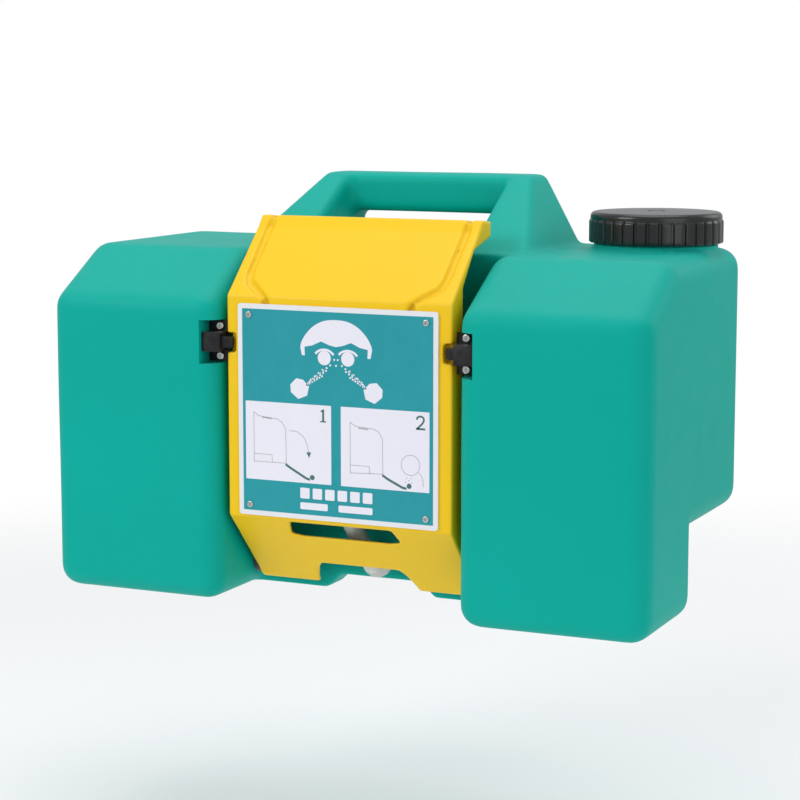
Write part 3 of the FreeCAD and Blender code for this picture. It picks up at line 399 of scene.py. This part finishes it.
sealRubber = plastic("sealRubber", {
    "colour": (0.018, 0.018, 0.018, 1), "deep": (0.010, 0.010, 0.010, 1), "worn": (0.05, 0.05, 0.05, 1),
    "creaseDirtAndShade": (0.05, 0.045, 0.04, 1), "roughness": 0.72, "peel": 2200, "bump": 0.3, "relief": 0.0002,
    "wear": 0.2, "dust": 0.25, "scuffs": 0.05, "scuffScale": 200})
fittingPlastic = plastic("fittingPlastic", {
    "colour": (0.035, 0.037, 0.040, 1), "deep": (0.022, 0.024, 0.026, 1), "worn": (0.14, 0.14, 0.14, 1),
    "creaseDirtAndShade": (0.03, 0.03, 0.025, 1), "roughness": 0.45, "peel": 1800, "bump": 0.25, "relief": 0.0002,
    "wear": 0.4, "dust": 0.12, "scuffs": 0.12, "scuffScale": 160})
# the nozzles' and sign panel's crease colours are darker, warmer tones: painted shade and dirt in the creases
nozzlePlastic = plastic("nozzlePlastic", {
    "colour": (0.72, 0.73, 0.70, 1), "deep": (0.64, 0.65, 0.62, 1), "worn": (0.86, 0.86, 0.84, 1),
    "creaseDirtAndShade": (0.30, 0.29, 0.25, 1), "roughness": 0.33, "peel": 1500, "bump": 0.12, "relief": 0.0002,
    "wear": 0.3, "dust": 0.08, "scuffs": 0.1, "scuffScale": 160})
signPanel = plastic("signPanel", {
    "colour": (0.80, 0.81, 0.84, 1), "deep": (0.76, 0.77, 0.80, 1), "worn": (0.70, 0.70, 0.70, 1),
    "creaseDirtAndShade": (0.45, 0.43, 0.38, 1), "roughness": 0.30, "spread": 0.06, "peel": 900, "bump": 0.05,
    "relief": 0.0002, "wear": 0.2, "dust": 0.03, "scuffs": 0.12, "scuffScale": 120})
# each print finish below has a darker tone of its own colour as crease colour: painted shade in the creases
printField = plastic("printField", {
    "colour": (0.004, 0.315, 0.355, 1), "deep": (0.003, 0.270, 0.320, 1), "worn": (0.05, 0.42, 0.45, 1),
    "creaseDirtAndShade": (0.01, 0.2, 0.2, 1), "roughness": 0.34, "drift": 9, "spread": 0.06, "peel": 900, "bump": 0.05,
    "relief": 0.0002, "wear": 0.1, "dust": 0.03, "scuffs": 0.12, "scuffScale": 120})
printWhite = plastic("printWhite", {
    "colour": (0.83, 0.83, 0.90, 1), "deep": (0.80, 0.78, 0.88, 1), "worn": (0.7, 0.7, 0.7, 1),
    "creaseDirtAndShade": (0.5, 0.5, 0.5, 1), "roughness": 0.36, "peel": 900, "bump": 0.05, "relief": 0.0002,
    "wear": 0.1, "dust": 0.03, "scuffs": 0.12, "scuffScale": 120})
printInk = plastic("printInk", {
    "colour": (0.055, 0.16, 0.15, 1), "deep": (0.04, 0.13, 0.12, 1), "worn": (0.2, 0.3, 0.3, 1),
    "creaseDirtAndShade": (0.05, 0.1, 0.1, 1), "roughness": 0.42, "peel": 900, "bump": 0.05, "relief": 0.0002,
    "wear": 0.1, "dust": 0.02, "scuffs": 0.1, "scuffScale": 120})
printLine = plastic("printLine", {
    "colour": (0.42, 0.43, 0.46, 1), "deep": (0.36, 0.37, 0.40, 1), "worn": (0.6, 0.6, 0.6, 1),
    "creaseDirtAndShade": (0.3, 0.3, 0.3, 1), "roughness": 0.42, "peel": 900, "bump": 0.05, "relief": 0.0002,
    "wear": 0.1, "dust": 0.02, "scuffs": 0.1, "scuffScale": 120})


def steelLook(name, finish):
    # turned and plated steel: rings round each head come from fine noise in the gloss
    look, tree, shader = newMaterial(name, finish["colour"])
    shader.inputs["Metallic"].default_value = 1.0
    # creases are pulled toward a darker, warmer crease colour: painted shade and dirt on the steel
    edgesWorn = useGroup(tree, wearAndCreaseShade, Colour=finish["colour"], Worn_Colour=finish["bright"],
                         Grime_Colour=finish["creaseDirtAndShade"], Wear=0.7, Grime=0.6)
    scuffs = useGroup(tree, scuffed, Roughness=finish["roughness"], Amount=0.22, Scale=300)
    tree.links.new(edgesWorn.outputs["Colour"], shader.inputs["Base Color"])
    tree.links.new(scuffs.outputs["Roughness"], shader.inputs["Roughness"])
    bump = addNode(tree, "ShaderNodeBump", Strength=0.2, Distance=0.0001)
    tree.links.new(scuffs.outputs["Height"], bump.inputs["Height"])
    tree.links.new(bump.outputs["Normal"], shader.inputs["Normal"])
    return look


platedSteel = steelLook("platedSteel", {
    "colour": (0.62, 0.62, 0.60, 1), "bright": (0.85, 0.85, 0.83, 1),
    "creaseDirtAndShade": (0.16, 0.15, 0.13, 1), "roughness": 0.22})
springSteel = steelLook("springSteel", {
    "colour": (0.50, 0.50, 0.49, 1), "bright": (0.75, 0.75, 0.73, 1),
    "creaseDirtAndShade": (0.12, 0.11, 0.10, 1), "roughness": 0.30})

hoseFinish = {"colour": (0.70, 0.73, 0.70, 1), "deep": (0.60, 0.64, 0.61, 1), "clear": 0.35}
hoseVinyl, hoseTree, hoseShader = newMaterial("hoseVinyl", hoseFinish["colour"])
hoseSkin = useGroup(hoseTree, skin, Colour=hoseFinish["colour"], Deep_Colour=hoseFinish["deep"],
                    Drift_Scale=25, Peel_Scale=900, Wave_Scale=120, Wave_Share=0.7,
                    Roughness=0.22, Gloss_Spread=0.1)
hoseTree.links.new(hoseSkin.outputs["Colour"], hoseShader.inputs["Base Color"])
hoseTree.links.new(hoseSkin.outputs["Roughness"], hoseShader.inputs["Roughness"])
hoseBump = addNode(hoseTree, "ShaderNodeBump", Strength=0.15, Distance=0.0003)
hoseTree.links.new(hoseSkin.outputs["Height"], hoseBump.inputs["Height"])
hoseTree.links.new(hoseBump.outputs["Normal"], hoseShader.inputs["Normal"])
hoseShader.inputs["Transmission Weight"].default_value = hoseFinish["clear"]
hoseShader.inputs["IOR"].default_value = 1.45

floorLook, floorTree, floorShader = newMaterial("studioFloorPaper", (0.9, 0.9, 0.9, 1))
floorShader.inputs["Roughness"].default_value = 0.9
floorGrain = useGroup(floorTree, skin, Colour=(0.96, 0.96, 0.96, 1), Deep_Colour=(0.945, 0.945, 0.947, 1),
                      Drift_Scale=0.6, Peel_Scale=300, Roughness=0.9, Gloss_Spread=0.02)
floorTree.links.new(floorGrain.outputs["Colour"], floorShader.inputs["Base Color"])
# the paper fades out well away from the station
floorSpot = addNode(floorTree, "ShaderNodeNewGeometry")
floorReach = addNode(floorTree, "ShaderNodeVectorMath")
floorReach.operation = "LENGTH"
floorTree.links.new(floorSpot.outputs["Position"], floorReach.inputs[0])
floorFade = addNode(floorTree, "ShaderNodeMapRange")
floorFade.interpolation_type = "SMOOTHSTEP"
for socket, value in zip(("From Min", "From Max", "To Min", "To Max"), floorPlan["fade"]):
    floorFade.inputs[socket].default_value = value
floorTree.links.new(floorReach.outputs["Value"], floorFade.inputs["Value"])
floorTree.links.new(floorFade.outputs["Result"], floorShader.inputs["Alpha"])
studioFloor.data.materials.append(floorLook)

nodeLooks = {
    "cap_gasket": sealRubber, "cap_vent_plug": capPlastic, "fill_cap": capPlastic,
    "catch_body_left": catchPlastic, "catch_body_right": catchPlastic,
    "catch_nose_left": catchPlastic, "catch_nose_right": catchPlastic,
    "catch_spring_left": springSteel, "catch_spring_right": springSteel,
    "catch_screws": platedSteel, "sign_screws": platedSteel, "sign_nuts": platedSteel,
    "pivot_pin_left": platedSteel, "pivot_pin_right": platedSteel,
    "pivot_clip_left": springSteel, "pivot_clip_right": springSteel,
    "pivot_bush_left": fittingPlastic, "pivot_bush_right": fittingPlastic,
    "pivot_spacer_left": fittingPlastic, "pivot_spacer_right": fittingPlastic,
    "outlet_elbow": nozzlePlastic, "outlet_nut": fittingPlastic, "outlet_strainer": fittingPlastic,
    "outlet_gasket": sealRubber, "supply_hose": hoseVinyl,
    "hose_clamp_tank": platedSteel, "hose_clamp_arm": platedSteel,
    "nozzle_manifold": fittingPlastic,
    "manifold_plug_left": fittingPlastic, "manifold_plug_right": fittingPlastic,
    "nozzle_left": nozzlePlastic, "nozzle_right": nozzlePlastic,
    "nozzle_screen_left": nozzlePlastic, "nozzle_screen_right": nozzlePlastic,
    "manifold_strap_left": fittingPlastic, "manifold_strap_right": fittingPlastic,
    "strap_screws": platedSteel, "hose_clip": fittingPlastic, "clip_screws": platedSteel,
    "sign_plate": signPanel, "tank_shell": tankPlastic, "arm_shell": armPlastic,
}
for nodeName, look in nodeLooks.items():
    node = nodes[nodeName]
    if not node.material_slots:
        node.data.materials.append(look)
    for materialSlot in node.material_slots:
        materialSlot.material = look
print("materials placed on", len(nodeLooks), "pieces")

# tank


def addRod(bm, start, end, radius, steps=48):
    # a closed rod between two drawn points
    startPoint, endPoint = place(*start), place(*end)
    line = endPoint - startPoint
    turnTo = line.to_track_quat("Z", "Y").to_matrix().to_4x4()
    middle = Matrix.Translation((startPoint + endPoint) / 2)
    bmesh.ops.create_cone(bm, cap_ends=True, segments=steps, radius1=mm(radius), radius2=mm(radius),
                          depth=line.length, matrix=middle @ turnTo)


def addBlock(bm, low, high):
    lowPoint, highPoint = place(*low), place(*high)
    made = bmesh.ops.create_cube(bm, size=1)["verts"]
    for vert in made:
        vert.co = Vector([lowPoint[i] if vert.co[i] < 0 else highPoint[i] for i in range(3)])


def softCopy(nodeName, pieceName, look, voxel, passes, strength, plugs=None):
    # the CAD piece's own form, its edges eased as a mould eases them
    bm = bmesh.new()
    bm.from_mesh(nodes[nodeName].data)
    bmesh.ops.remove_doubles(bm, verts=bm.verts, dist=0.00002)
    if plugs is not None:
        plugs(bm)
    piece = meshPiece(pieceName, bm)
    grid = piece.modifiers.new("grid", "REMESH")
    grid.mode = "VOXEL"
    grid.voxel_size = mm(voxel)
    grid.adaptivity = 0
    ease = piece.modifiers.new("ease", "SMOOTH")
    ease.factor = strength
    ease.iterations = passes
    applied(piece)
    piece.data.materials.clear()
    piece.data.materials.append(look)
    for polygon in piece.data.polygons:
        polygon.use_smooth = True
    return piece


tankForm = {
    "voxel": 3.0,
    "passes": 9,
    "strength": 0.5,
    "waviness": 0.7,         # how far the wide faces wander inward
    "neckAt": (233, 218, 329),
    "neckRadius": 54, "neckBore": 49.5,
    "outletHigh": 32,
    "outletPlug": (98, 112, 12), "outletBore": (92, 114, 8.6),     # from, to, radius
    "pocketSide": (119, 136.5), "pocketDeep": 23, "pocketHalf": 20, "catchHigh": 246,
    "plugRound": (140, 20.3, 19.9),                                # across, back, radius
    "plugSpan": (120.3, 141), "plugBack": (20, 40), "plugHigh": (222, 270),
    "pivotPlug": (84, 26, 7),                                      # back, up, radius
}


def fillTank(bm):
    x, y, z = tankForm["neckAt"]
    addRod(bm, (x, y, z - 20), (x, y, z - 2), tankForm["neckBore"] + 2)          # closes the neck
    start, end, radius = tankForm["outletPlug"]                                  # closes the outlet
    addRod(bm, (0, start, tankForm["outletHigh"]), (0, end, tankForm["outletHigh"]), radius)
    across, back, roundRadius = tankForm["plugRound"]
    (near, far), (front, rear) = tankForm["plugSpan"], tankForm["plugBack"]
    bottom, top = tankForm["plugHigh"]
    pinBack, pinUp, pinRadius = tankForm["pivotPlug"]
    for side in (-1, 1):                                                         # closes pockets and pivots
        addRod(bm, (side * across, back, bottom), (side * across, back, top), roundRadius, 96)
        addBlock(bm, (min(side * near, side * far), front, bottom), (max(side * near, side * far), rear, top))
        addRod(bm, (side * near, pinBack, pinUp), (side * across, pinBack, pinUp), pinRadius)


tankSkin = softCopy("tank_shell", "tank_skin", tankPlastic, tankForm["voxel"], tankForm["passes"],
                    tankForm["strength"], fillTank)
# crisp recesses are cut after the skin has been eased
pocketCutter = bmesh.new()
for side in (-1, 1):
    near, far = side * (tankForm["pocketSide"][0] - 2), side * tankForm["pocketSide"][1]
    addBlock(pocketCutter, (min(near, far), -3, tankForm["catchHigh"] - tankForm["pocketHalf"]),
             (max(near, far), tankForm["pocketDeep"] + 0.2, tankForm["catchHigh"] + tankForm["pocketHalf"]))
neckX, neckY, neckZ = tankForm["neckAt"]
addRod(pocketCutter, (neckX, neckY, neckZ - 12), (neckX, neckY, neckZ + 60), tankForm["neckRadius"] - 0.5, 96)
outletFrom, outletTo, outletRadius = tankForm["outletBore"]
addRod(pocketCutter, (0, outletFrom, tankForm["outletHigh"]), (0, outletTo, tankForm["outletHigh"]),
       outletRadius, 48)
cutter = meshPiece("pocketCutter", pocketCutter)
recess = tankSkin.modifiers.new("recess", "BOOLEAN")
recess.operation = "DIFFERENCE"
recess.solver = "MANIFOLD"
recess.object = cutter
applied(tankSkin)
bpy.data.objects.remove(cutter)


def wander(piece, depth, scale, seed):
    # wide moulded faces are never quite flat: each point moves a little way inward
    normals = [vert.normal.copy() for vert in piece.data.vertices]
    for vert, normal in zip(piece.data.vertices, normals):
        lift = noise.noise(vert.co * scale + Vector((seed, seed * 0.7, 3.1)))
        vert.co -= normal * mm(depth) * (0.5 + 0.5 * lift)


wander(tankSkin, tankForm["waviness"], 9, 4.0)


def markSharp(piece, above):
    bm = bmesh.new()
    bm.from_mesh(piece.data)
    for face in bm.faces:
        face.smooth = True
    for edge in bm.edges:
        if len(edge.link_faces) == 2:
            edge.smooth = edge.calc_face_angle(0) < math.radians(above)
    bm.to_mesh(piece.data)
    bm.free()


markSharp(tankSkin, 50)
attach(tankSkin, "tank")
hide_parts("tank_shell")
print("tank skin:", len(tankSkin.data.polygons), "faces")


def turnedPiece(name, profile, centre, look, steps=96, radiusAt=None):
    # a closed profile of (radius, height) turned about the vertical through centre
    bm = bmesh.new()
    rings = []
    for radius, height in profile:
        if radius < 1e-6:
            rings.append([bm.verts.new(place(centre[0], centre[1], centre[2] + height))])
            continue
        ring = []
        for step in range(steps):
            angle = 2 * math.pi * step / steps
            reach = radius if radiusAt is None else radiusAt(radius, height, angle)
            ring.append(bm.verts.new(place(centre[0] + reach * math.cos(angle),
                                           centre[1] + reach * math.sin(angle), centre[2] + height)))
        rings.append(ring)
    pairs = list(zip(rings, rings[1:]))
    if len(rings[0]) > 1 and len(rings[-1]) > 1:
        pairs.append((rings[-1], rings[0]))
    for ring, after in pairs:
        for step in range(steps):
            corners = [ring[step % len(ring)], ring[(step + 1) % len(ring)],
                       after[(step + 1) % len(after)], after[step % len(after)]]
            corners = [vert for place_, vert in enumerate(corners) if vert not in corners[:place_]]
            if len(corners) > 2:
                bm.faces.new(corners)
    return meshPiece(name, bm, look, sharpAbove=40)


neckForm = {"threadPitch": 5.0, "threadDeep": 1.2, "threadFrom": 9.0, "threadTo": 27.0}


def threadReach(radius, height, angle):
    if radius < 53.9 or not neckForm["threadFrom"] < height < neckForm["threadTo"]:
        return radius
    phase = (height / neckForm["threadPitch"] - angle / (2 * math.pi)) % 1
    fade = min(1, (height - neckForm["threadFrom"]) / 2, (neckForm["threadTo"] - height) / 2)
    return radius + neckForm["threadDeep"] * fade * max(0, 1 - abs(phase - 0.5) * 3.2)


neckProfile = [(49.5, -11), (53.2, -11), (53.2, -2), (55.6, -0.6), (57.0, 0.4), (57.8, 1.4), (58.0, 2.4),
               (58.0, 3.9), (57.6, 4.9), (56.8, 5.5), (54.6, 5.6), (54.0, 6.2)]
neckProfile += [(54.0, 6.6 + 0.6 * step) for step in range(36)]
neckProfile += [(54.0, 29.2), (53.4, 30.0), (50.2, 30.0), (49.5, 29.2)]
neckCollar = turnedPiece("neck_collar", neckProfile, tankForm["neckAt"], tankPlastic, 96, threadReach)
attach(neckCollar, "tank")

# screw cap

capForm = {
    "base": 6.5, "rise": 29, "radius": 61.6, "padProud": 1.2,
    "pads": 34, "fluteHalf": 1.1, "fluteEdge": 0.9, "padTop": 21.5,
}


def padReach(radius, height, angle):
    if radius < capForm["radius"] - 1.2 or height > capForm["base"] + capForm["padTop"] + 2:
        return radius
    pitch = 2 * math.pi / capForm["pads"]
    offFlute = abs((angle / pitch) % 1 - 0.5) * pitch * capForm["radius"]
    across = min(1, max(0, (offFlute - capForm["fluteHalf"]) / capForm["fluteEdge"]))
    up = min(1, max(0, (capForm["base"] + capForm["padTop"] - height) / 1.6))
    rise = across * across * (3 - 2 * across) * up
    return radius + capForm["padProud"] * rise - 0.5 * (1 - across) * up


capBase, capRise, capRadius = capForm["base"], capForm["rise"], capForm["radius"]
capProfile = [(0, capBase + 25.6), (58.2, capBase + 25.6), (58.2, capBase + 0.6), (58.8, capBase),
              (capRadius - 0.9, capBase), (capRadius - 0.2, capBase + 0.5)]
capProfile += [(capRadius, capBase + height)
               for height in (1.2, 4, 8, 12, 16, 19, 20, 20.6, 21.1, 21.6, 22.2)]
shoulder = 4.6
capProfile += [(capRadius - shoulder + shoulder * math.cos(math.radians(angle)),
                capBase + capRise - shoulder - 0.4 + shoulder * math.sin(math.radians(angle)))
               for angle in range(0, 91, 10)]
capProfile += [(50, capBase + capRise - 0.25), (36, capBase + capRise - 0.1), (20, capBase + capRise),
               (9.5, capBase + capRise), (8.6, capBase + capRise - 0.2), (7.9, capBase + capRise - 1.1),
               (6.3, capBase + capRise - 1.2), (6.3, capBase + capRise - 2), (0, capBase + capRise - 2)]
capSkin = turnedPiece("cap_skin", capProfile, tankForm["neckAt"], capPlastic, capForm["pads"] * 12, padReach)
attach(capSkin, "cap")
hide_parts("fill_cap")
print("neck and cap made")

# arm

armForm = {
    "voxel": 1.4, "passes": 4, "strength": 0.5,
    "grooveDeep": 1.5, "grooveReach": 5.5,         # pressed this much further in than the CAD groove
    "groove": [(99, 103, 360), (99, 74, 349), (100, 46, 322), (99, 30, 307),
               (96, 24, 301), (84, 18, 295), (74, 14, 289), (73, 12, 279)],
}
armSkin = softCopy("arm_shell", "arm_skin", armPlastic, armForm["voxel"], armForm["passes"],
                   armForm["strength"])


def pressGroove(piece, points, deep, reach):
    # the valley between each side rail and the middle panel
    outward = Vector((0, -0.69, 0.72))
    normals = [vert.normal.copy() for vert in piece.data.vertices]
    runsOf = [[place(side * x, y, z) for x, y, z in points] for side in (-1, 1)]
    for vert, normal in zip(piece.data.vertices, normals):
        if vert.co.z < place(0, 0, 275).z or normal.dot(outward) < 0.45:
            continue
        nearest = 1.0
        for line in runsOf:
            for start, end in zip(line, line[1:]):
                along = end - start
                share = min(1, max(0, (vert.co - start).dot(along) / along.length_squared))
                nearest = min(nearest, (vert.co - start - along * share).length)
        if nearest < mm(reach):
            vert.co -= normal * mm(deep) * (1 - (nearest / mm(reach)) ** 2) ** 2


pressGroove(armSkin, armForm["groove"], armForm["grooveDeep"], armForm["grooveReach"])
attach(armSkin, "arm")
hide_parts("arm_shell")
print("arm skin:", len(armSkin.data.polygons), "faces")

# sign: a printed panel, its print a fraction of a millimetre thick

signForm = {
    "front": 10, "top": 283, "half": 100.5, "height": 197,
    "margin": 4.6, "fieldThick": 0.12, "printThick": 0.24,
}


def inlay(name, outlines, thick, look):
    # flat printed shapes, each outline a list of (across, down from the sign's top edge)
    bm = bmesh.new()
    for outline in outlines:
        front, back = [[bm.verts.new(place(x, signForm["front"] + depth, signForm["top"] - down))
                        for x, down in outline] for depth in (-thick, 0.05)]
        bm.faces.new(front)
        bm.faces.new(back[::-1])
        for step in range(len(outline)):
            after = (step + 1) % len(outline)
            bm.faces.new([front[after], front[step], back[step], back[after]])
    piece = meshPiece(name, bm, look, smooth=False)
    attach(piece, "arm")
    return piece


def disc(x, down, radius, steps=28):
    return [(x + radius * math.cos(2 * math.pi * step / steps),
             down + radius * math.sin(2 * math.pi * step / steps))
            for step in range(steps)]


def roundedBox(left, top, right, bottom, radius, steps=5):
    corners = []
    for cx, cy, start in ((right - radius, top + radius, -90), (right - radius, bottom - radius, 0),
                          (left + radius, bottom - radius, 90), (left + radius, top + radius, 180)):
        for step in range(steps + 1):
            angle = math.radians(start + 90 * step / steps)
            corners.append((cx + radius * math.cos(angle), cy + radius * math.sin(angle)))
    return corners


def stroke(points, width):
    # an even line along points, as one closed outline
    left, right = [], []
    for step, (x, y) in enumerate(points):
        before, after = points[max(step - 1, 0)], points[min(step + 1, len(points) - 1)]
        alongX, alongY = after[0] - before[0], after[1] - before[1]
        length = math.hypot(alongX, alongY)
        sideX, sideY = -alongY / length * width / 2, alongX / length * width / 2
        left.append((x + sideX, y + sideY))
        right.append((x - sideX, y - sideY))
    return left + right[::-1]


def runs(points, width):
    # straight lines from point to point, each its own outline
    out = []
    for (x0, y0), (x1, y1) in zip(points, points[1:]):
        length = math.hypot(x1 - x0, y1 - y0)
        overX, overY = (x1 - x0) / length * width / 2, (y1 - y0) / length * width / 2
        out.append(stroke([(x0 - overX, y0 - overY), (x1 + overX, y1 + overY)], width))
    return out


def bent(points, steps=6):
    # a smooth run through the given points
    out = []
    for step in range(len(points) - 1):
        p0, p1 = points[max(step - 1, 0)], points[step]
        p2, p3 = points[step + 1], points[min(step + 2, len(points) - 1)]
        for part in range(steps):
            t = part / steps
            out.append(tuple(0.5 * (2 * p1[i] + (p2[i] - p0[i]) * t
                                    + (2 * p0[i] - 5 * p1[i] + 4 * p2[i] - p3[i]) * t * t
                                    + (3 * p1[i] - p0[i] - 3 * p2[i] + p3[i]) * t ** 3) for i in range(2)))
    return out + [points[-1]]


half, margin = signForm["half"], signForm["margin"]
inlay("sign_field", [roundedBox(-half + margin, margin, half - margin, signForm["height"] - margin, 0.8)],
      signForm["fieldThick"], printField)

domeHalf = [(0, 11.5), (12, 12.8), (22, 17.5), (30, 25), (35, 33), (36, 38), (34.5, 45), (31.5, 45),
            (31.8, 37), (24, 35.6), (15, 31.5), (7, 34.6), (0, 36)]
dome = bent([(-x, y) for x, y in domeHalf[1:6][::-1]] + domeHalf[:6]) + domeHalf[6:] + \
    [(-x, y) for x, y in domeHalf[6:-1][::-1]]
picture = [dome]
for side in (-1, 1):
    eyeX, eyeDown = side * 11.8, 46.5
    picture.append(disc(eyeX, eyeDown, 6.6))
    brow = [(eyeX + 10.6 * math.cos(math.radians(angle)), eyeDown + 1 - 8.6 * math.sin(math.radians(angle)))
            for angle in range(28, 153, 8)]
    picture.append(stroke(brow, 2.1))
    heel = [(side * x, down) for x, down in ((27.5, 73.5), (33.5, 67.5), (40.5, 66.5), (46.5, 72.5),
                                              (46, 79.5), (38.5, 85.5), (29.5, 82))]
    picture.append(heel if side > 0 else heel[::-1])
    for row in range(7):
        share = row / 6
        midX, midDown = side * (27.5 - 19.5 * share), 69.5 - 14 * share
        fan = 3.2 + 6.8 * share
        for column in range(4):
            shift = (column - 1.5) / 1.5 * fan
            dotX, dotDown = midX + side * shift * 0.62, midDown + shift * 0.78
            clear = math.hypot(dotX - eyeX, dotDown - eyeDown)
            if clear > 8.2 and dotX * side > 0.8:
                picture.append(disc(dotX, dotDown, 0.95, 10))
picture.append(disc(0, 53, 0.95, 10))

panels = {"left": (-93, -5.2), "right": (4.6, 92.4), "top": 90, "bottom": 163}
for side in ("left", "right"):
    near, far = panels[side]
    picture.append(roundedBox(near, panels["top"], far, panels["bottom"], 0.6))
for block in range(6):                      # plain blocks stand where a maker would print a title
    picture.append(roundedBox(-37 + block * 12.7, 167.5, -37 + block * 12.7 + 9.6, 177.5, 1.2))
picture.append(roundedBox(-37, 181.2, -9, 187.6, 1.2))
picture.append(roundedBox(2, 181.2, 36.2, 187.6, 1.2))
inlay("sign_picture", picture, signForm["printThick"], printWhite)

one = [(-16.2, 95.6), (-13.4, 93.6), (-12.2, 93.6), (-12.2, 104.2), (-10.2, 104.8), (-10.2, 105.6),
       (-16.4, 105.6), (-16.4, 104.8), (-14.2, 104.2), (-14.2, 96.4)]
two = stroke(bent([(80.0, 97.2), (80.8, 95.2), (83.2, 94.2), (85.8, 94.8), (87.0, 97.0), (86.0, 99.8),
                   (83.4, 102.6), (80.2, 105.6)], 4), 1.7)
twoFoot = [(79.4, 104.6), (88.2, 104.6), (88.2, 106.4), (79.4, 106.4)]
armStrokes = [stroke([(-52, 147), (-46, 150.5), (-31, 158.5), (-27, 159.6)], 2.2),
              disc(-24.6, 157.4, 2.4, 14),
              stroke([(46, 150), (52, 153.5), (66, 160.0), (70, 160.6)], 2.2),
              disc(72.6, 158.2, 2.4, 14)]
arrow = [(-30.5, 134.5), (-25.8, 134.0), (-27.6, 139.5)]
inlay("sign_ink", [one, two, twoFoot, arrow] + armStrokes, signForm["printThick"] + 0.08, printInk)

outlineLeft = [(-84.5, 146), (-84.5, 100.2), (-79.5, 103.4), (-60, 105.4), (-55.5, 108),
               (-51.6, 114), (-51.2, 146), (-84.5, 146.2)]
outlineRight = [(14, 150), (14, 103.6), (19, 107), (38, 108.6), (42.5, 111),
                (46.2, 117), (46.6, 149), (14, 150.2)]
faint = runs(outlineLeft, 0.55) + runs(outlineRight, 0.55)
faint += runs([(-84.5, 139), (-66, 139), (-65.6, 146)], 0.5)
faint += runs([(14, 143), (33, 143), (33.4, 150)], 0.5)
faint += [stroke([(-76, 104.6), (-66, 105.4)], 1.2), stroke([(22, 108.6), (32, 109.2)], 1.2),
         stroke(bent([(-48, 115.5), (-40, 116), (-33, 121), (-29.6, 128), (-28.2, 134.5)]), 0.6),
         stroke(disc(74, 139, 9.2, 30) + [disc(74, 139, 9.2, 30)[0]], 0.55),
         stroke(bent([(82, 145), (85.5, 150), (86.5, 158)]), 0.55)]
faint += [disc(x, y, 0.55, 8)
          for x, y in ((70, 151), (72.4, 153), (69, 154.6), (74.4, 150.8), (72, 156), (75.2, 155))]
inlay("sign_lines", faint, signForm["printThick"] + 0.08, printLine)
print("sign printed")

# moulded and turned small pieces: the CAD form with its corners broken


def easedCopy(nodeName, pieceName, look, body, width, above=28, segments=2):
    bm = bmesh.new()
    bm.from_mesh(nodes[nodeName].data)
    bmesh.ops.remove_doubles(bm, verts=bm.verts, dist=0.000005)
    bmesh.ops.dissolve_limit(bm, angle_limit=math.radians(1.5), verts=bm.verts, edges=bm.edges)
    corners = [edge for edge in bm.edges
               if len(edge.link_faces) == 2 and edge.calc_face_angle(0) > math.radians(above)]
    bmesh.ops.bevel(bm, geom=corners, offset=mm(width), offset_type="OFFSET", segments=segments, profile=0.6,
                    affect="EDGES", clamp_overlap=True)
    bmesh.ops.triangulate(bm, faces=[face for face in bm.faces if len(face.verts) > 4])
    piece = meshPiece(pieceName, bm, look, sharpAbove=38)
    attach(piece, body)
    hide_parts(nodeName)
    return piece


for side in ("left", "right"):
    easedCopy(f"catch_body_{side}", f"catch_case_{side}", catchPlastic, "tank", 0.5)
    easedCopy(f"catch_nose_{side}", f"catch_bolt_{side}", catchPlastic, f"nose_{side}", 0.5)
    easedCopy(f"manifold_strap_{side}", f"strap_{side}", fittingPlastic, "arm", 0.4)
easedCopy("hose_clip", "hose_holder", fittingPlastic, "arm", 0.4)
print("small pieces eased")

# supply hose: clear vinyl between the outlet elbow and the manifold, held at both ends and by a clip

hoseForm = {
    "route": [(0, 80.5, 37.9), (0, 66.9, 52.5), (0, 50, 70.7), (0, 36, 86), (0, 36, 112), (0, 36, 140),
              (0, 36, 248)],
    "outer": 9.0, "bore": 6.5,
    "bendFrom": (0, 78, 41), "bendTo": (0, 40, 120),
}
hoseCurve = bpy.data.curves.new("hoseRun", "CURVE")
hoseCurve.dimensions = "3D"
hoseCurve.resolution_u = 10
run = hoseCurve.splines.new("NURBS")
run.points.add(len(hoseForm["route"]) - 1)
for point, at in zip(run.points, hoseForm["route"]):
    point.co = (*place(*at), 1)
run.order_u = 3
run.use_endpoint_u = True
hoseCurve.bevel_depth = mm(hoseForm["outer"])
hoseCurve.bevel_resolution = 12
hoseObject = bpy.data.objects.new("hose_run", hoseCurve)
scene.collection.objects.link(hoseObject)
bpy.context.view_layer.update()
hoseMesh = bpy.data.meshes.new_from_object(hoseObject.evaluated_get(bpy.context.evaluated_depsgraph_get()))
bpy.data.objects.remove(hoseObject)
hose = bpy.data.objects.new("hose_tube", hoseMesh)
scene.collection.objects.link(hose)
wall = hose.modifiers.new("wall", "SOLIDIFY")
wall.thickness = mm(hoseForm["outer"] - hoseForm["bore"])
wall.offset = -1
applied(hose)
hose.data.materials.clear()
hose.data.materials.append(hoseVinyl)
for polygon in hose.data.polygons:
    polygon.use_smooth = True
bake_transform(hose)
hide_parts("supply_hose")
print("hose laid")
